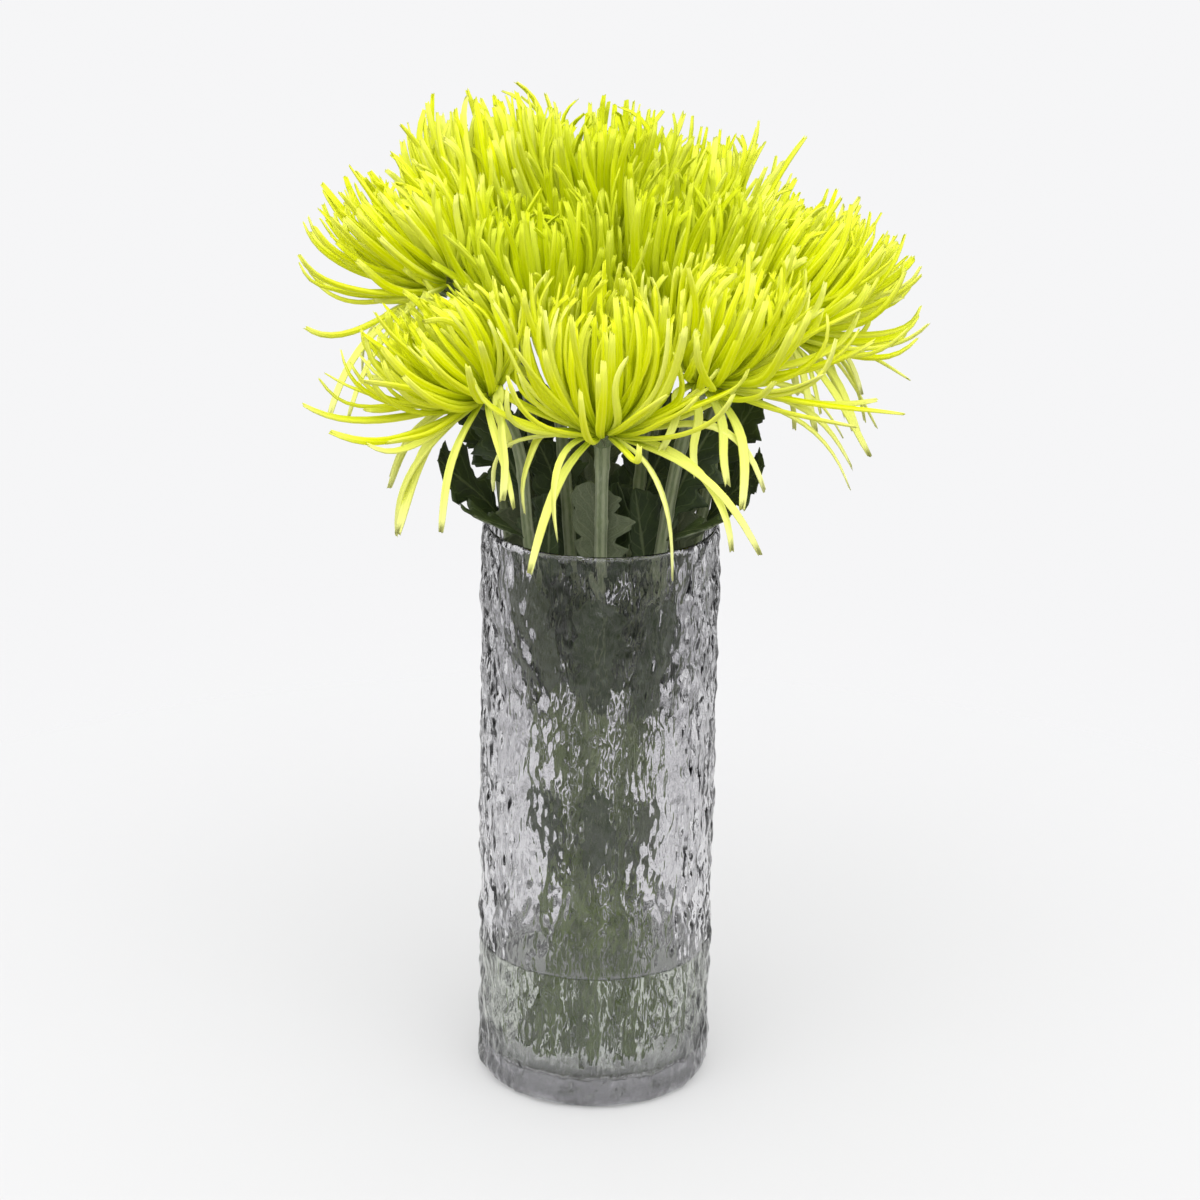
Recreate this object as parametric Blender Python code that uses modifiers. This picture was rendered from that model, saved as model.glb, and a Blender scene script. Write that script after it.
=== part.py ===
"""Spider chrysanthemums: twelve cut flowers in a tall vase of smoke-grey bark glass, standing in water.

Metres, +Z up. The origin is the middle of the vase's foot, which stands on z = 0. The viewer stands at -Y.
Every flower is a leafy stem with its green calyx, and a head of long quilled petals that sits on the calyx.
Petals and leaves are placed by rules with seeded draws, bent clear of their neighbours, then fused.
"""
import math
import random
from collections import namedtuple

import bmesh
import bpy
import numpy as np
from mathutils import Matrix, Vector

GAP = 0.0003                    # left between pieces that touch
MERGE = 0.00002
SLIVER = 0.000003
SEED = 12

Flower = namedtuple("Flower", "x y z lean compass")
Layer = namedtuple("Layer", "count root angles shortest longest half_width steps hangs")
Leaf = namedtuple("Leaf", "owner root compass rise_root rise_tip length roll")

# Vase: pressed glass, a straight cylinder with bark relief outside and a smooth bore
VASE_HEIGHT = 0.300
VASE_RADIUS = 0.0598
VASE_BORE = 0.0565
VASE_FLOOR = 0.0140
BORE_CHAMFER = 0.006
FOOT_FLARE = 0.0006
RIM_BEAD = 0.0012
BARK_DEPTH = 0.0020
VASE_COLUMNS = 36
BARK_ROWS = 11
BARK_LOW, BARK_HIGH = 0.022, 0.288
FOOT_PROFILE = [(FOOT_FLARE, 0.011), (-0.001, 0.0035), (-0.005, 0.0)]

WATER_TOP = 0.072
HOLE_SPARE = 0.005              # stem holes are cut this far past the water

# Stems stand on the vase floor, gathered in a bundle that opens towards the rim
STEM_RADIUS = 0.0029
BUNDLE_FLOOR = 0.33             # share of a head's distance from the axis, on the floor
BUNDLE_NECK = 0.30              # and at the bundle's narrowest
NECK_HEIGHT = 0.150
RIM_REACH = 0.0515              # stems pass the rim inside this
RIM_SHARE = 0.62                # or at this share of their head's distance from the axis
STEM_STEPS = (1, 2, 3)          # straight steps from the floor to the neck, the rim and the calyx
CALYX_RADIUS = 0.0085
CALYX_HEIGHT = 0.0085
CALYX_PROFILE = [(0.0, 0.0), (CALYX_RADIUS, 0.0), (CALYX_RADIUS * 0.76, -CALYX_HEIGHT * 0.62),
                 (STEM_RADIUS * 0.8, -CALYX_HEIGHT), (0.0, -CALYX_HEIGHT)]

# Every flower by hand: where its calyx ends (x, y, z), how far its head leans from upright in degrees,
# and the compass the head leans to, in degrees round from +X
FLOWERS = [
    Flower(0.000, -0.072, 0.369, 10, 270),
    Flower(-0.057, -0.054, 0.382, 40, 198),
    Flower(0.049, -0.052, 0.390, 24, 322),
    Flower(-0.077, 0.004, 0.423, 38, 178),
    Flower(0.080, -0.002, 0.406, 34, 357),
    Flower(-0.026, -0.018, 0.404, 8, 220),
    Flower(0.028, -0.008, 0.410, 10, 330),
    Flower(-0.004, 0.034, 0.431, 4, 90),
    Flower(-0.051, 0.062, 0.428, 18, 130),
    Flower(0.036, 0.074, 0.411, 18, 66),
    Flower(0.076, 0.050, 0.398, 34, 32),
    Flower(-0.010, 0.094, 0.394, 32, 98),
]
# Neighbours all round, so these heads hang no petals
INNER_FLOWERS = (5, 6, 7)

# Heart of a head: an egg that the petals stand out of, as radius and height above the calyx
HEART_PROFILE = [(0.0065, 0.0), (0.0165, 0.010), (0.0230, 0.027), (0.0215, 0.041), (0.0120, 0.049)]
HEART_TOP = 0.051
HEART_SIDES = 8
HEART_ROOM = [(0.014, 0.018), (0.027, 0.023)]   # balls that fill the heart: height and radius
AXIS_REACH = 0.200              # a head's axis is followed this far for its room

# Petal layers of a head, inside out. Angles are off the axis at root, middle and tip, in degrees
LAYERS = [
    Layer(4, 0.036, (20, 10, -6), 0.030, 0.038, 0.0034, 2, False),
    Layer(5, 0.020, (38, 16, -14), 0.056, 0.064, 0.0038, 3, False),
    Layer(6, 0.012, (60, 30, 0), 0.069, 0.077, 0.0040, 3, False),
    Layer(7, 0.008, (78, 56, 32), 0.073, 0.083, 0.0038, 3, False),
    Layer(3, 0.006, (88, 90, 96), 0.070, 0.092, 0.0028, 4, True),
]
PETAL_THICKNESS = 0.55          # of its half width
PETAL_ROOT = 0.002              # roots stand this far off the axis
ROOT_WIDTH, BELLY_WIDTH = 0.62, 0.38
LAYER_TURN = math.pi * (3 - math.sqrt(5))
TURN_PLAY = 0.12
HANG_SPREAD = 75                # hanging petals leave within these degrees of the outer side
HANG_PLAY = 0.1
HANG_PULL = 1.3
BEND_TRIES = 8                  # a petal that meets a neighbour is closed up and shortened, this often
CLOSE_STEP, SHORTEN_STEP = 0.09, 0.03

# Room between neighbouring flowers: how wide each holds its ground at a height above its calyx
GIRTH = [(-0.300, 0.006), (-0.006, 0.007), (0.028, 0.036), (0.064, 0.040), (0.090, 0.012), (0.300, 0.006)]
PETAL_MARGIN = 0.0045
SOFT_EDGE = 0.014
SPOT_SPACING = 0.003
SKIRT_RADIUS = 0.094            # hanging petals stay outside this below their calyx, leaves inside it
LEAF_REACH = 0.086

# Leaves: share of the length, share of the half width, and how far the edge point runs ahead of the midrib
LEAF_STATIONS = [(0.00, 0.07, 0.00), (0.20, 0.08, 0.00), (0.36, 0.78, 0.06), (0.49, 0.38, 0.03),
                 (0.66, 1.00, 0.08), (0.82, 0.56, 0.04), (1.00, 0.05, 0.00)]
PLAIN_STATIONS = [(0.00, 0.07, 0.00), (0.22, 0.10, 0.00), (0.42, 0.80, 0.04), (0.72, 0.92, 0.05),
                  (1.00, 0.08, 0.00)]
LOBED_ABOVE = 0.250             # leaves that root lower, or whose tips rise steeper, have the plain outline
PLAIN_RISE = 65
LEAF_WIDTH = 0.30               # half width of a leaf over its length
LEAF_THICKNESS = 0.0008
LEAF_FOLD = 0.22
LEAF_SPOT = 0.0026
LEAF_SPOT_SPACING = 0.004
LEAF_SOFT_EDGE = 0.004
LEAF_ROOT_SHARE = 0.1           # this much of a leaf, its root, stays on the stem and isn't moved
LEAF_SPREAD = 1.6               # how fast leaves may widen above the rim
LEAF_TRIES = (0, 12, -12, 24, -24, 38, -38, 52, -52)

# Leaves above the rim by hand: rises in degrees, and the roll that turns the blade about its midrib
RIM_LEAVES = [
    Leaf(1, 0.316, 190, 76, 60, 0.064, -75),
    Leaf(1, 0.300, 205, 40, -2, 0.050, -20),
    Leaf(1, 0.262, 20, 84, 74, 0.064, 70),
    Leaf(0, 0.272, 250, 86, 66, 0.068, 0),
    Leaf(0, 0.262, 10, 84, 72, 0.072, 70),
    Leaf(2, 0.300, 345, 78, 58, 0.070, 75),
    Leaf(2, 0.300, 320, 36, 0, 0.050, 20),
    Leaf(2, 0.262, 170, 84, 76, 0.066, -70),
    Leaf(4, 0.292, 340, 66, 20, 0.072, 40),
    Leaf(4, 0.318, 20, 72, 34, 0.062, 40),
    Leaf(3, 0.290, 196, 66, 16, 0.070, -40),
    Leaf(3, 0.322, 160, 76, 46, 0.062, -40),
    Leaf(10, 0.290, 30, 66, 14, 0.070, 40),
    Leaf(10, 0.300, 100, 80, 60, 0.060, 0),
    Leaf(11, 0.292, 82, 64, 12, 0.070, 0),
    Leaf(11, 0.316, 118, 76, 46, 0.062, 0),
    Leaf(8, 0.292, 158, 66, 18, 0.070, -30),
    Leaf(8, 0.300, 100, 80, 60, 0.062, 0),
    Leaf(9, 0.296, 64, 74, 34, 0.066, 0),
    Leaf(9, 0.284, 110, 84, 70, 0.060, 0),
    Leaf(5, 0.256, 90, 86, 78, 0.070, 0),
    Leaf(5, 0.290, 180, 82, 64, 0.058, -75),
    Leaf(6, 0.262, 90, 86, 78, 0.070, 0),
    Leaf(6, 0.292, 0, 82, 64, 0.058, 75),
    Leaf(7, 0.258, 90, 86, 78, 0.070, 0),
    Leaf(7, 0.300, 270, 84, 74, 0.056, 0),
]
# Leaves inside the vase, pressed up along the glass or between the stems: owner, root, length
PRESSED_LEAVES = [
    (0, 0.198, 0.080), (1, 0.206, 0.078), (2, 0.192, 0.080), (3, 0.182, 0.082), (4, 0.176, 0.080),
    (8, 0.194, 0.080), (9, 0.188, 0.080), (10, 0.210, 0.074), (11, 0.206, 0.078), (5, 0.206, 0.070),
    (6, 0.192, 0.070), (7, 0.202, 0.070), (0, 0.100, 0.070), (2, 0.092, 0.072), (1, 0.104, 0.068),
]
PRESSED_RISE = (66, 86)
WALL_CLEARANCE = 0.0022

# Colours as linear values, roughness
GLASS_GREY = ((0.42, 0.42, 0.44, 1.0), 0.05)
WATER_CLEAR = ((0.55, 0.58, 0.55, 1.0), 0.05)
STEM_GREEN = ((0.16, 0.21, 0.10, 1.0), 0.55)
PETAL_GREEN = ((0.62, 0.74, 0.03, 1.0), 0.50)

draw = random.Random(SEED)


def start_scene():
    """Empties the scene and makes the collection for the parts"""
    for old in list(bpy.data.objects):
        bpy.data.objects.remove(old, do_unlink=True)
    parts = bpy.data.collections.new("spider_chrysanthemums")
    bpy.context.scene.collection.children.link(parts)
    return parts


def make_material(name, colour, roughness):
    finish = bpy.data.materials.new(name)
    finish.use_nodes = True
    shader = finish.node_tree.nodes["Principled BSDF"]
    shader.inputs["Base Color"].default_value = colour
    shader.inputs["Roughness"].default_value = roughness
    shader.inputs["Metallic"].default_value = 0.0
    return finish


def add_object(name, mesh, collection, finish=None):
    made = bpy.data.objects.new(name, mesh)
    collection.objects.link(made)
    if finish:
        mesh.materials.clear()
        mesh.materials.append(finish)
    return made


def evaluated_mesh(source):
    """Mesh of an object with its modifiers, as the viewport shows it"""
    depsgraph = bpy.context.evaluated_depsgraph_get()
    return bpy.data.meshes.new_from_object(source.evaluated_get(depsgraph))


def bake(source):
    """Replaces an object's mesh by its evaluated one and drops the modifiers"""
    mesh = evaluated_mesh(source)
    source.modifiers.clear()
    source.data = mesh
    return source


def turned(name, profile, sides, collection):
    """Object turned round Z from a profile of (radius, height) that starts and ends on the axis"""
    mesh = bpy.data.meshes.new(name)
    points = [(radius, 0.0, height) for radius, height in profile]
    edges = [(spot, spot + 1) for spot in range(len(points) - 1)]
    mesh.from_pydata(points, edges, [])
    made = add_object(name, mesh, collection)
    screw = made.modifiers.new("turn", "SCREW")
    screw.axis = "Z"
    screw.steps = sides
    screw.render_steps = sides
    screw.use_merge_vertices = True
    screw.merge_threshold = MERGE
    bake(made)
    return made


def open_repeats(name):
    """Collection for the repeats of one node, in the scene so that their modifiers are worked out"""
    repeats = bpy.data.collections.new(name)
    bpy.context.scene.collection.children.link(repeats)
    return repeats


def join_repeats(base, repeats):
    """Fuses the repeats into the base with one union, then keeps the outer skin of the largest body"""
    union = base.modifiers.new("join", "BOOLEAN")
    union.operation = "UNION"
    union.operand_type = "COLLECTION"
    union.collection = repeats
    union.solver = "MANIFOLD"
    bake(base)
    for used in list(repeats.objects):
        bpy.data.objects.remove(used, do_unlink=True)
    bpy.data.collections.remove(repeats)
    keep_largest_body(base.data)


def keep_largest_body(mesh):
    """Drops loose scraps and sealed hollows, which are the smaller shells of the mesh"""
    form = bmesh.new()
    form.from_mesh(mesh)
    bmesh.ops.remove_doubles(form, verts=form.verts[:], dist=MERGE)
    bmesh.ops.triangulate(form, faces=form.faces[:])
    bmesh.ops.dissolve_degenerate(form, dist=SLIVER, edges=form.edges[:])
    bmesh.ops.triangulate(form, faces=form.faces[:])
    shells = []
    waiting = set(form.faces)
    while waiting:
        shell = [waiting.pop()]
        for face in shell:
            for edge in face.edges:
                for beside in edge.link_faces:
                    if beside in waiting:
                        waiting.remove(beside)
                        shell.append(beside)
        shells.append(shell)
    largest = max(shells, key=lambda shell: sum(face.calc_area() for face in shell))
    loose = [face for shell in shells if shell is not largest for face in shell]
    bmesh.ops.delete(form, geom=loose, context="FACES")
    form.to_mesh(mesh)
    form.free()


class Taken:
    """Round spots that the flowers already hold, with the flower that each belongs to"""

    def __init__(self):
        self.spots = np.empty((0, 3))
        self.radii = np.empty(0)
        self.owners = np.empty(0, dtype=int)

    def add(self, spots, radius, owner):
        spots = np.atleast_2d(np.array(spots, dtype=float))
        self.spots = np.vstack([self.spots, spots])
        self.radii = np.append(self.radii, np.full(len(spots), radius))
        self.owners = np.append(self.owners, np.full(len(spots), owner))

    def is_clear(self, spots, radius, owner):
        """True where spots of this radius keep off all that other flowers hold"""
        others = self.owners != owner
        if not others.any():
            return True
        away = np.linalg.norm(np.array(spots)[:, None, :] - self.spots[None, others, :], axis=2)
        return bool((away > self.radii[others] + radius + GAP).all())


def along(points, spacing):
    """Spots every spacing or closer along straight runs between the points"""
    spots = [points[0]]
    for start, end in zip(points, points[1:]):
        steps = max(1, math.ceil((end - start).length / spacing))
        spots += [start.lerp(end, step / steps) for step in range(1, steps + 1)]
    return spots


def compass_vector(degrees_round):
    return Vector((math.cos(math.radians(degrees_round)), math.sin(math.radians(degrees_round)), 0.0))


def head_axis(flower):
    lean = math.radians(flower.lean)
    return compass_vector(flower.compass) * math.sin(lean) + Vector((0, 0, math.cos(lean)))


def calyx_end(flower):
    return Vector((flower.x, flower.y, flower.z))


def stem_route(flower):
    """Points from the vase floor through the bundle's neck and past the rim to the calyx's underside"""
    calyx = calyx_end(flower)
    axis = head_axis(flower)
    end = calyx - axis * CALYX_HEIGHT
    foot = Vector((calyx.x * BUNDLE_FLOOR, calyx.y * BUNDLE_FLOOR, VASE_FLOOR + GAP))
    neck = Vector((calyx.x * BUNDLE_NECK, calyx.y * BUNDLE_NECK, NECK_HEIGHT))
    away = Vector((calyx.x, calyx.y, 0.0))
    rim = away.normalized() * min(RIM_REACH, away.length * RIM_SHARE) + Vector((0, 0, VASE_HEIGHT))
    stops = [foot, neck, rim, end]
    ways = [(neck - foot).normalized(), (rim - foot).normalized(), (end - neck).normalized(), axis]
    route = []
    for stop, steps in enumerate(STEM_STEPS):
        near, far = stops[stop], stops[stop + 1]
        reach = (far - near).length
        for step in range(steps):
            route.append(hermite(near, ways[stop] * reach, far, ways[stop + 1] * reach, step / steps))
    return route + [end]


def hermite(near, leave, far, arrive, part):
    """Point on a smooth curve between two stops, by its directions at both"""
    return (near * (2 * part**3 - 3 * part**2 + 1) + leave * (part**3 - 2 * part**2 + part)
            + far * (3 * part**2 - 2 * part**3) + arrive * (part**3 - part**2))


def spine_at(spine, height):
    """Where a flower's stem, or its head's axis above the stem, passes a height"""
    for low, high in zip(spine, spine[1:]):
        if height <= high.z:
            break
    return low.lerp(high, (height - low.z) / (high.z - low.z))


def girth_at(flower, height):
    """Half width of the room that a flower holds at a height"""
    above = height - flower.z
    heights = [row[0] for row in GIRTH]
    widths = [row[1] for row in GIRTH]
    return float(np.interp(above, heights, widths))


def keep_in_room(point, owner, spines, margin, soft):
    """Moves a point sideways so that it stays on its own flower's side of every neighbour"""
    point = point.copy()
    home = spine_at(spines[owner], point.z)
    mine = girth_at(FLOWERS[owner], point.z)
    for other, spine in enumerate(spines):
        if other == owner:
            continue
        there = spine_at(spine, point.z)
        between = Vector((there.x - home.x, there.y - home.y, 0.0))
        apart = between.length
        between.normalize()
        theirs = girth_at(FLOWERS[other], point.z)
        limit = apart * mine / (mine + theirs) - margin
        reach = (point.x - home.x) * between.x + (point.y - home.y) * between.y
        edge = limit - soft
        if reach > edge:
            eased = edge + soft * (1.0 - math.exp((edge - reach) / soft))
            point -= between * (reach - eased)
    return point


def petal_route(owner, spines, layer, turn, length, open_share):
    """Points of one petal, from its root in the heart to its tip"""
    calyx = calyx_end(FLOWERS[owner])
    axis = head_axis(FLOWERS[owner])
    outward = Matrix.Rotation(turn, 3, axis) @ axis.orthogonal().normalized()
    point = calyx + axis * layer.root + outward * PETAL_ROOT
    route = [point]
    for step in range(layer.steps):
        part = (step + 0.5) / layer.steps
        angle = math.radians(np.interp(part, (0.0, 0.5, 1.0), layer.angles) * open_share)
        way = axis * math.cos(angle) + outward * math.sin(angle)
        if layer.hangs:
            way += Vector((0, 0, -1)) * HANG_PULL * part**1.5
            way.normalize()
        point = point + way * (length / layer.steps)
        if step > 0 or not layer.hangs:
            point = keep_in_room(point, owner, spines, PETAL_MARGIN, SOFT_EDGE)
        if layer.hangs and point.z < calyx.z:
            point = push_out(point, SKIRT_RADIUS)
        route.append(point)
    return route


def push_out(point, radius):
    """Moves a point out from the vase's axis to at least a radius"""
    away = math.hypot(point.x, point.y)
    stretch = max(1.0, radius / away)
    return Vector((point.x * stretch, point.y * stretch, point.z))


def petal_mesh(name, route, half_width, axis):
    """Three-sided quill: a straight bar cut into stations, bent along the route and tapered"""
    stations = len(route) - 1
    form = bmesh.new()
    bmesh.ops.create_cone(form, cap_ends=True, segments=3, radius1=1.0, radius2=1.0, depth=1.0,
                          matrix=Matrix.Translation((0, 0, 0.5)))
    for cut in range(1, stations):
        bmesh.ops.bisect_plane(form, geom=form.verts[:] + form.edges[:] + form.faces[:],
                               plane_co=(0, 0, cut / stations), plane_no=(0, 0, 1))
    for vert in form.verts:
        station = round(vert.co.z * stations)
        before = route[max(station - 1, 0)]
        after = route[min(station + 1, stations)]
        run = (after - before).normalized()
        across = run.cross(axis)
        if across.length < MERGE:
            across = run.orthogonal()
        across.normalize()
        thick = across.cross(run)
        taper = ROOT_WIDTH + BELLY_WIDTH * math.sin(math.pi * (0.25 + 0.6 * station / stations))
        vert.co = (route[station] + across * vert.co.y * half_width * taper
                   + thick * vert.co.x * half_width * PETAL_THICKNESS * taper)
    bmesh.ops.triangulate(form, faces=form.faces[:])
    bmesh.ops.recalc_face_normals(form, faces=form.faces[:])
    mesh = bpy.data.meshes.new(name)
    form.to_mesh(mesh)
    form.free()
    return mesh


def outward_turn(flower):
    """Turn about the head's axis that points away from the vase's axis"""
    axis = head_axis(flower)
    side = axis.orthogonal().normalized()
    away = Vector((flower.x, flower.y, 0.0))
    away -= axis * away.dot(axis)
    away.normalize()
    return math.atan2(axis.dot(side.cross(away)), side.dot(away))


def plan_petals(spines, taken):
    """Routes of all petals, ring by ring over all heads, each bent up until it clears the other flowers"""
    plans = [[] for _ in FLOWERS]
    for number, layer in enumerate(LAYERS):
        for repeat in range(layer.count):
            for owner, flower in enumerate(FLOWERS):
                if layer.hangs and owner in INNER_FLOWERS:
                    continue
                turn = (2 * math.pi * repeat / layer.count + LAYER_TURN * number + owner
                        + draw.uniform(-TURN_PLAY, TURN_PLAY))
                if layer.hangs:
                    share = (repeat + 0.5) / layer.count * 2 - 1 + draw.uniform(-HANG_PLAY, HANG_PLAY)
                    turn = outward_turn(flower) + math.radians(HANG_SPREAD) * share
                length = draw.uniform(layer.shortest, layer.longest)
                for attempt in range(BEND_TRIES):
                    route = petal_route(owner, spines, layer, turn, length * (1 - SHORTEN_STEP * attempt),
                                        1 - CLOSE_STEP * attempt)
                    spots = along(route, SPOT_SPACING)
                    if taken.is_clear(spots, layer.half_width, owner):
                        taken.add(spots, layer.half_width, owner)
                        plans[owner].append((route, layer.half_width))
                        break
    return plans


def upright_to(place, axis):
    """Matrix that takes a piece standing on the origin to a place, turned along an axis"""
    return Matrix.Translation(place) @ axis.to_track_quat("Z", "Y").to_matrix().to_4x4()


def build_bloom(owner, plan, parts, finish):
    """Head of one flower: the egg-shaped heart with its petals fused on"""
    flower = FLOWERS[owner]
    axis = head_axis(flower)
    profile = [(0.0, HEART_TOP)] + HEART_PROFILE[::-1] + [(0.0, 0.0)]
    heart = turned("bloom_%02d" % (owner + 1), profile, HEART_SIDES, parts)
    heart.data.transform(upright_to(calyx_end(flower) + axis * GAP, axis))
    repeats = open_repeats("petals")
    for number, (route, half_width) in enumerate(plan):
        mesh = petal_mesh("petal_%03d" % number, route, half_width, axis)
        add_object("petal_%02d_%03d" % (owner, number), mesh, repeats)
    join_repeats(heart, repeats)
    heart.data.materials.clear()
    heart.data.materials.append(finish)
    return heart


def leaf_points(leaf, turn, spines):
    """Stations of a leaf as (midrib, left edge, right edge) points, bent clear of glass and neighbours"""
    way = compass_vector(leaf.compass + turn)
    level = Vector((-way.y, way.x, 0.0))
    roll = math.radians(leaf.roll)
    middle = spine_at(spines[leaf.owner], leaf.root)
    stations = []
    behind = 0.0
    plain = leaf.root < LOBED_ABOVE or leaf.rise_tip > PLAIN_RISE
    for share, wide, ahead in PLAIN_STATIONS if plain else LEAF_STATIONS:
        rise = math.radians(leaf.rise_root + (leaf.rise_tip - leaf.rise_root) * share)
        run = way * math.cos(rise) + Vector((0, 0, math.sin(rise)))
        middle = middle + run * (share - behind) * leaf.length
        behind = share
        across = level * math.cos(roll) + run.cross(level) * math.sin(roll)
        half = wide * LEAF_WIDTH * leaf.length
        edge = middle + run * ahead * leaf.length + run.cross(across) * half * LEAF_FOLD
        row = [middle, edge + across * half, edge - across * half]
        if share > LEAF_ROOT_SHARE:
            row = [keep_leaf(point, leaf.owner, spines) for point in row]
        stations.append(row)
    return stations


def keep_leaf(point, owner, spines):
    """Keeps a leaf's point inside the vase's bore, within the leaves' reach, and off the neighbours"""
    point = keep_in_room(point, owner, spines, LEAF_SPOT + GAP, LEAF_SOFT_EDGE)
    above_rim = max(0.0, point.z - VASE_HEIGHT - LEAF_SPOT)
    limit = min(VASE_BORE - WALL_CLEARANCE + above_rim * LEAF_SPREAD, LEAF_REACH)
    shrink = min(1.0, limit / math.hypot(point.x, point.y))
    return Vector((point.x * shrink, point.y * shrink, point.z))


def leaf_spots(stations):
    """Spots all over a leaf's blade, close enough that nothing passes between them"""
    spots = []
    for near, far in zip(stations[1:], stations[2:]):
        for side in (1, 2):
            for ahead in (0.0, 0.5):
                inner = near[0].lerp(far[0], ahead)
                outer = near[side].lerp(far[side], ahead)
                spots += along([inner, outer], LEAF_SPOT_SPACING)
    return spots


def leaf_mesh(name, stations):
    """Blade of a leaf: a strip of triangles either side of the midrib, given its thickness"""
    form = bmesh.new()
    rows = [[form.verts.new(point) for point in row] for row in stations]
    for near, far in zip(rows, rows[1:]):
        form.faces.new((near[0], near[1], far[1]))
        form.faces.new((near[0], far[1], far[0]))
        form.faces.new((near[0], far[0], far[2]))
        form.faces.new((near[0], far[2], near[2]))
    bmesh.ops.recalc_face_normals(form, faces=form.faces[:])
    mesh = bpy.data.meshes.new(name)
    form.to_mesh(mesh)
    form.free()
    return mesh


def plan_leaves(spines, taken):
    """Stations of all leaves that find room, by owner, each turned until it clears the others"""
    leaves = list(RIM_LEAVES)
    for owner, root, length in PRESSED_LEAVES:
        compass = math.degrees(math.atan2(FLOWERS[owner].y, FLOWERS[owner].x))
        leaves.append(Leaf(owner, root, compass, *PRESSED_RISE, length, 0))
    plans = [[] for _ in FLOWERS]
    for leaf in leaves:
        for turn in LEAF_TRIES:
            stations = leaf_points(leaf, turn, spines)
            spots = leaf_spots(stations)
            if taken.is_clear(spots, LEAF_SPOT, leaf.owner):
                taken.add(spots, LEAF_SPOT, leaf.owner)
                plans[leaf.owner].append(stations)
                break
    return plans


def tube(name, route, radius, collection):
    """Closed six-sided rod along a route, as a mesh"""
    curve = bpy.data.curves.new(name, "CURVE")
    curve.dimensions = "3D"
    curve.bevel_depth = radius
    curve.bevel_resolution = 1
    curve.use_fill_caps = True
    spline = curve.splines.new("POLY")
    spline.points.add(len(route) - 1)
    for spot, point in zip(spline.points, route):
        spot.co = (*point, 1.0)
    rod = bpy.data.objects.new(name + "_line", curve)
    collection.objects.link(rod)
    mesh = evaluated_mesh(rod)
    bpy.data.objects.remove(rod, do_unlink=True)
    form = bmesh.new()
    form.from_mesh(mesh)
    bmesh.ops.remove_doubles(form, verts=form.verts[:], dist=MERGE)
    bmesh.ops.recalc_face_normals(form, faces=form.faces[:])
    form.to_mesh(mesh)
    form.free()
    return add_object(name, mesh, collection)


def build_stem(owner, route, leaves, parts, finish):
    """Stem of one flower with its calyx and leaves fused on"""
    calyx = calyx_end(FLOWERS[owner])
    axis = head_axis(FLOWERS[owner])
    into_cup = calyx - axis * CALYX_HEIGHT / 2
    stem = tube("stem_%02d" % (owner + 1), route + [into_cup], STEM_RADIUS, parts)
    repeats = open_repeats("leaves")
    cup = turned("calyx_%02d" % owner, CALYX_PROFILE, HEART_SIDES, repeats)
    cup.data.transform(upright_to(calyx, axis))
    for number, stations in enumerate(leaves):
        blade = add_object("leaf_%02d_%d" % (owner, number), leaf_mesh("leaf", stations), repeats)
        shell = blade.modifiers.new("thickness", "SOLIDIFY")
        shell.thickness = LEAF_THICKNESS
        shell.offset = 0.0
        bake(blade)
    join_repeats(stem, repeats)
    stem.data.materials.clear()
    stem.data.materials.append(finish)
    return stem


def bark(turn, height):
    """Relief of the pressed glass, from -1 to 1: long streaks up the vase that wander and break"""
    drift = math.tau * height
    streak = math.sin(8 * turn + 1.3 * math.sin(drift / 0.130 + 2 * turn))
    stripe = math.sin(12 * turn - 1.5 * math.sin(drift / 0.090 + 3 * turn) + 1.0)
    broken = math.sin(drift / 0.060 + 3.0 * math.sin(5 * turn))
    return 0.42 * streak + 0.36 * stripe + 0.22 * broken


def build_vase(parts, finish):
    """Glass cylinder on a thick foot, its outside raised by the bark relief"""
    inside = [(0.0, VASE_FLOOR), (VASE_BORE - BORE_CHAMFER, VASE_FLOOR),
              (VASE_BORE, VASE_FLOOR + BORE_CHAMFER)]
    rim = [(VASE_BORE, VASE_HEIGHT - RIM_BEAD), (VASE_BORE + RIM_BEAD, VASE_HEIGHT),
           (VASE_RADIUS - RIM_BEAD, VASE_HEIGHT), (VASE_RADIUS, VASE_HEIGHT - RIM_BEAD)]
    wall = []
    for row in range(BARK_ROWS):
        height = BARK_HIGH + (BARK_LOW - BARK_HIGH) * row / (BARK_ROWS - 1)
        wall.append((VASE_RADIUS, height))
    foot = [(VASE_RADIUS + wider, height) for wider, height in FOOT_PROFILE] + [(0.0, 0.0)]
    vase = turned("vase", inside + rim + wall + foot, VASE_COLUMNS, parts)
    for vert in vase.data.vertices:
        away = math.hypot(vert.co.x, vert.co.y)
        if away > VASE_RADIUS - MERGE and vert.co.z <= BARK_HIGH + MERGE:
            raised = away + BARK_DEPTH * bark(math.atan2(vert.co.y, vert.co.x), vert.co.z)
            vert.co.x *= raised / away
            vert.co.y *= raised / away
    vase.data.materials.append(finish)
    vase.data.shade_smooth()
    return vase


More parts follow.
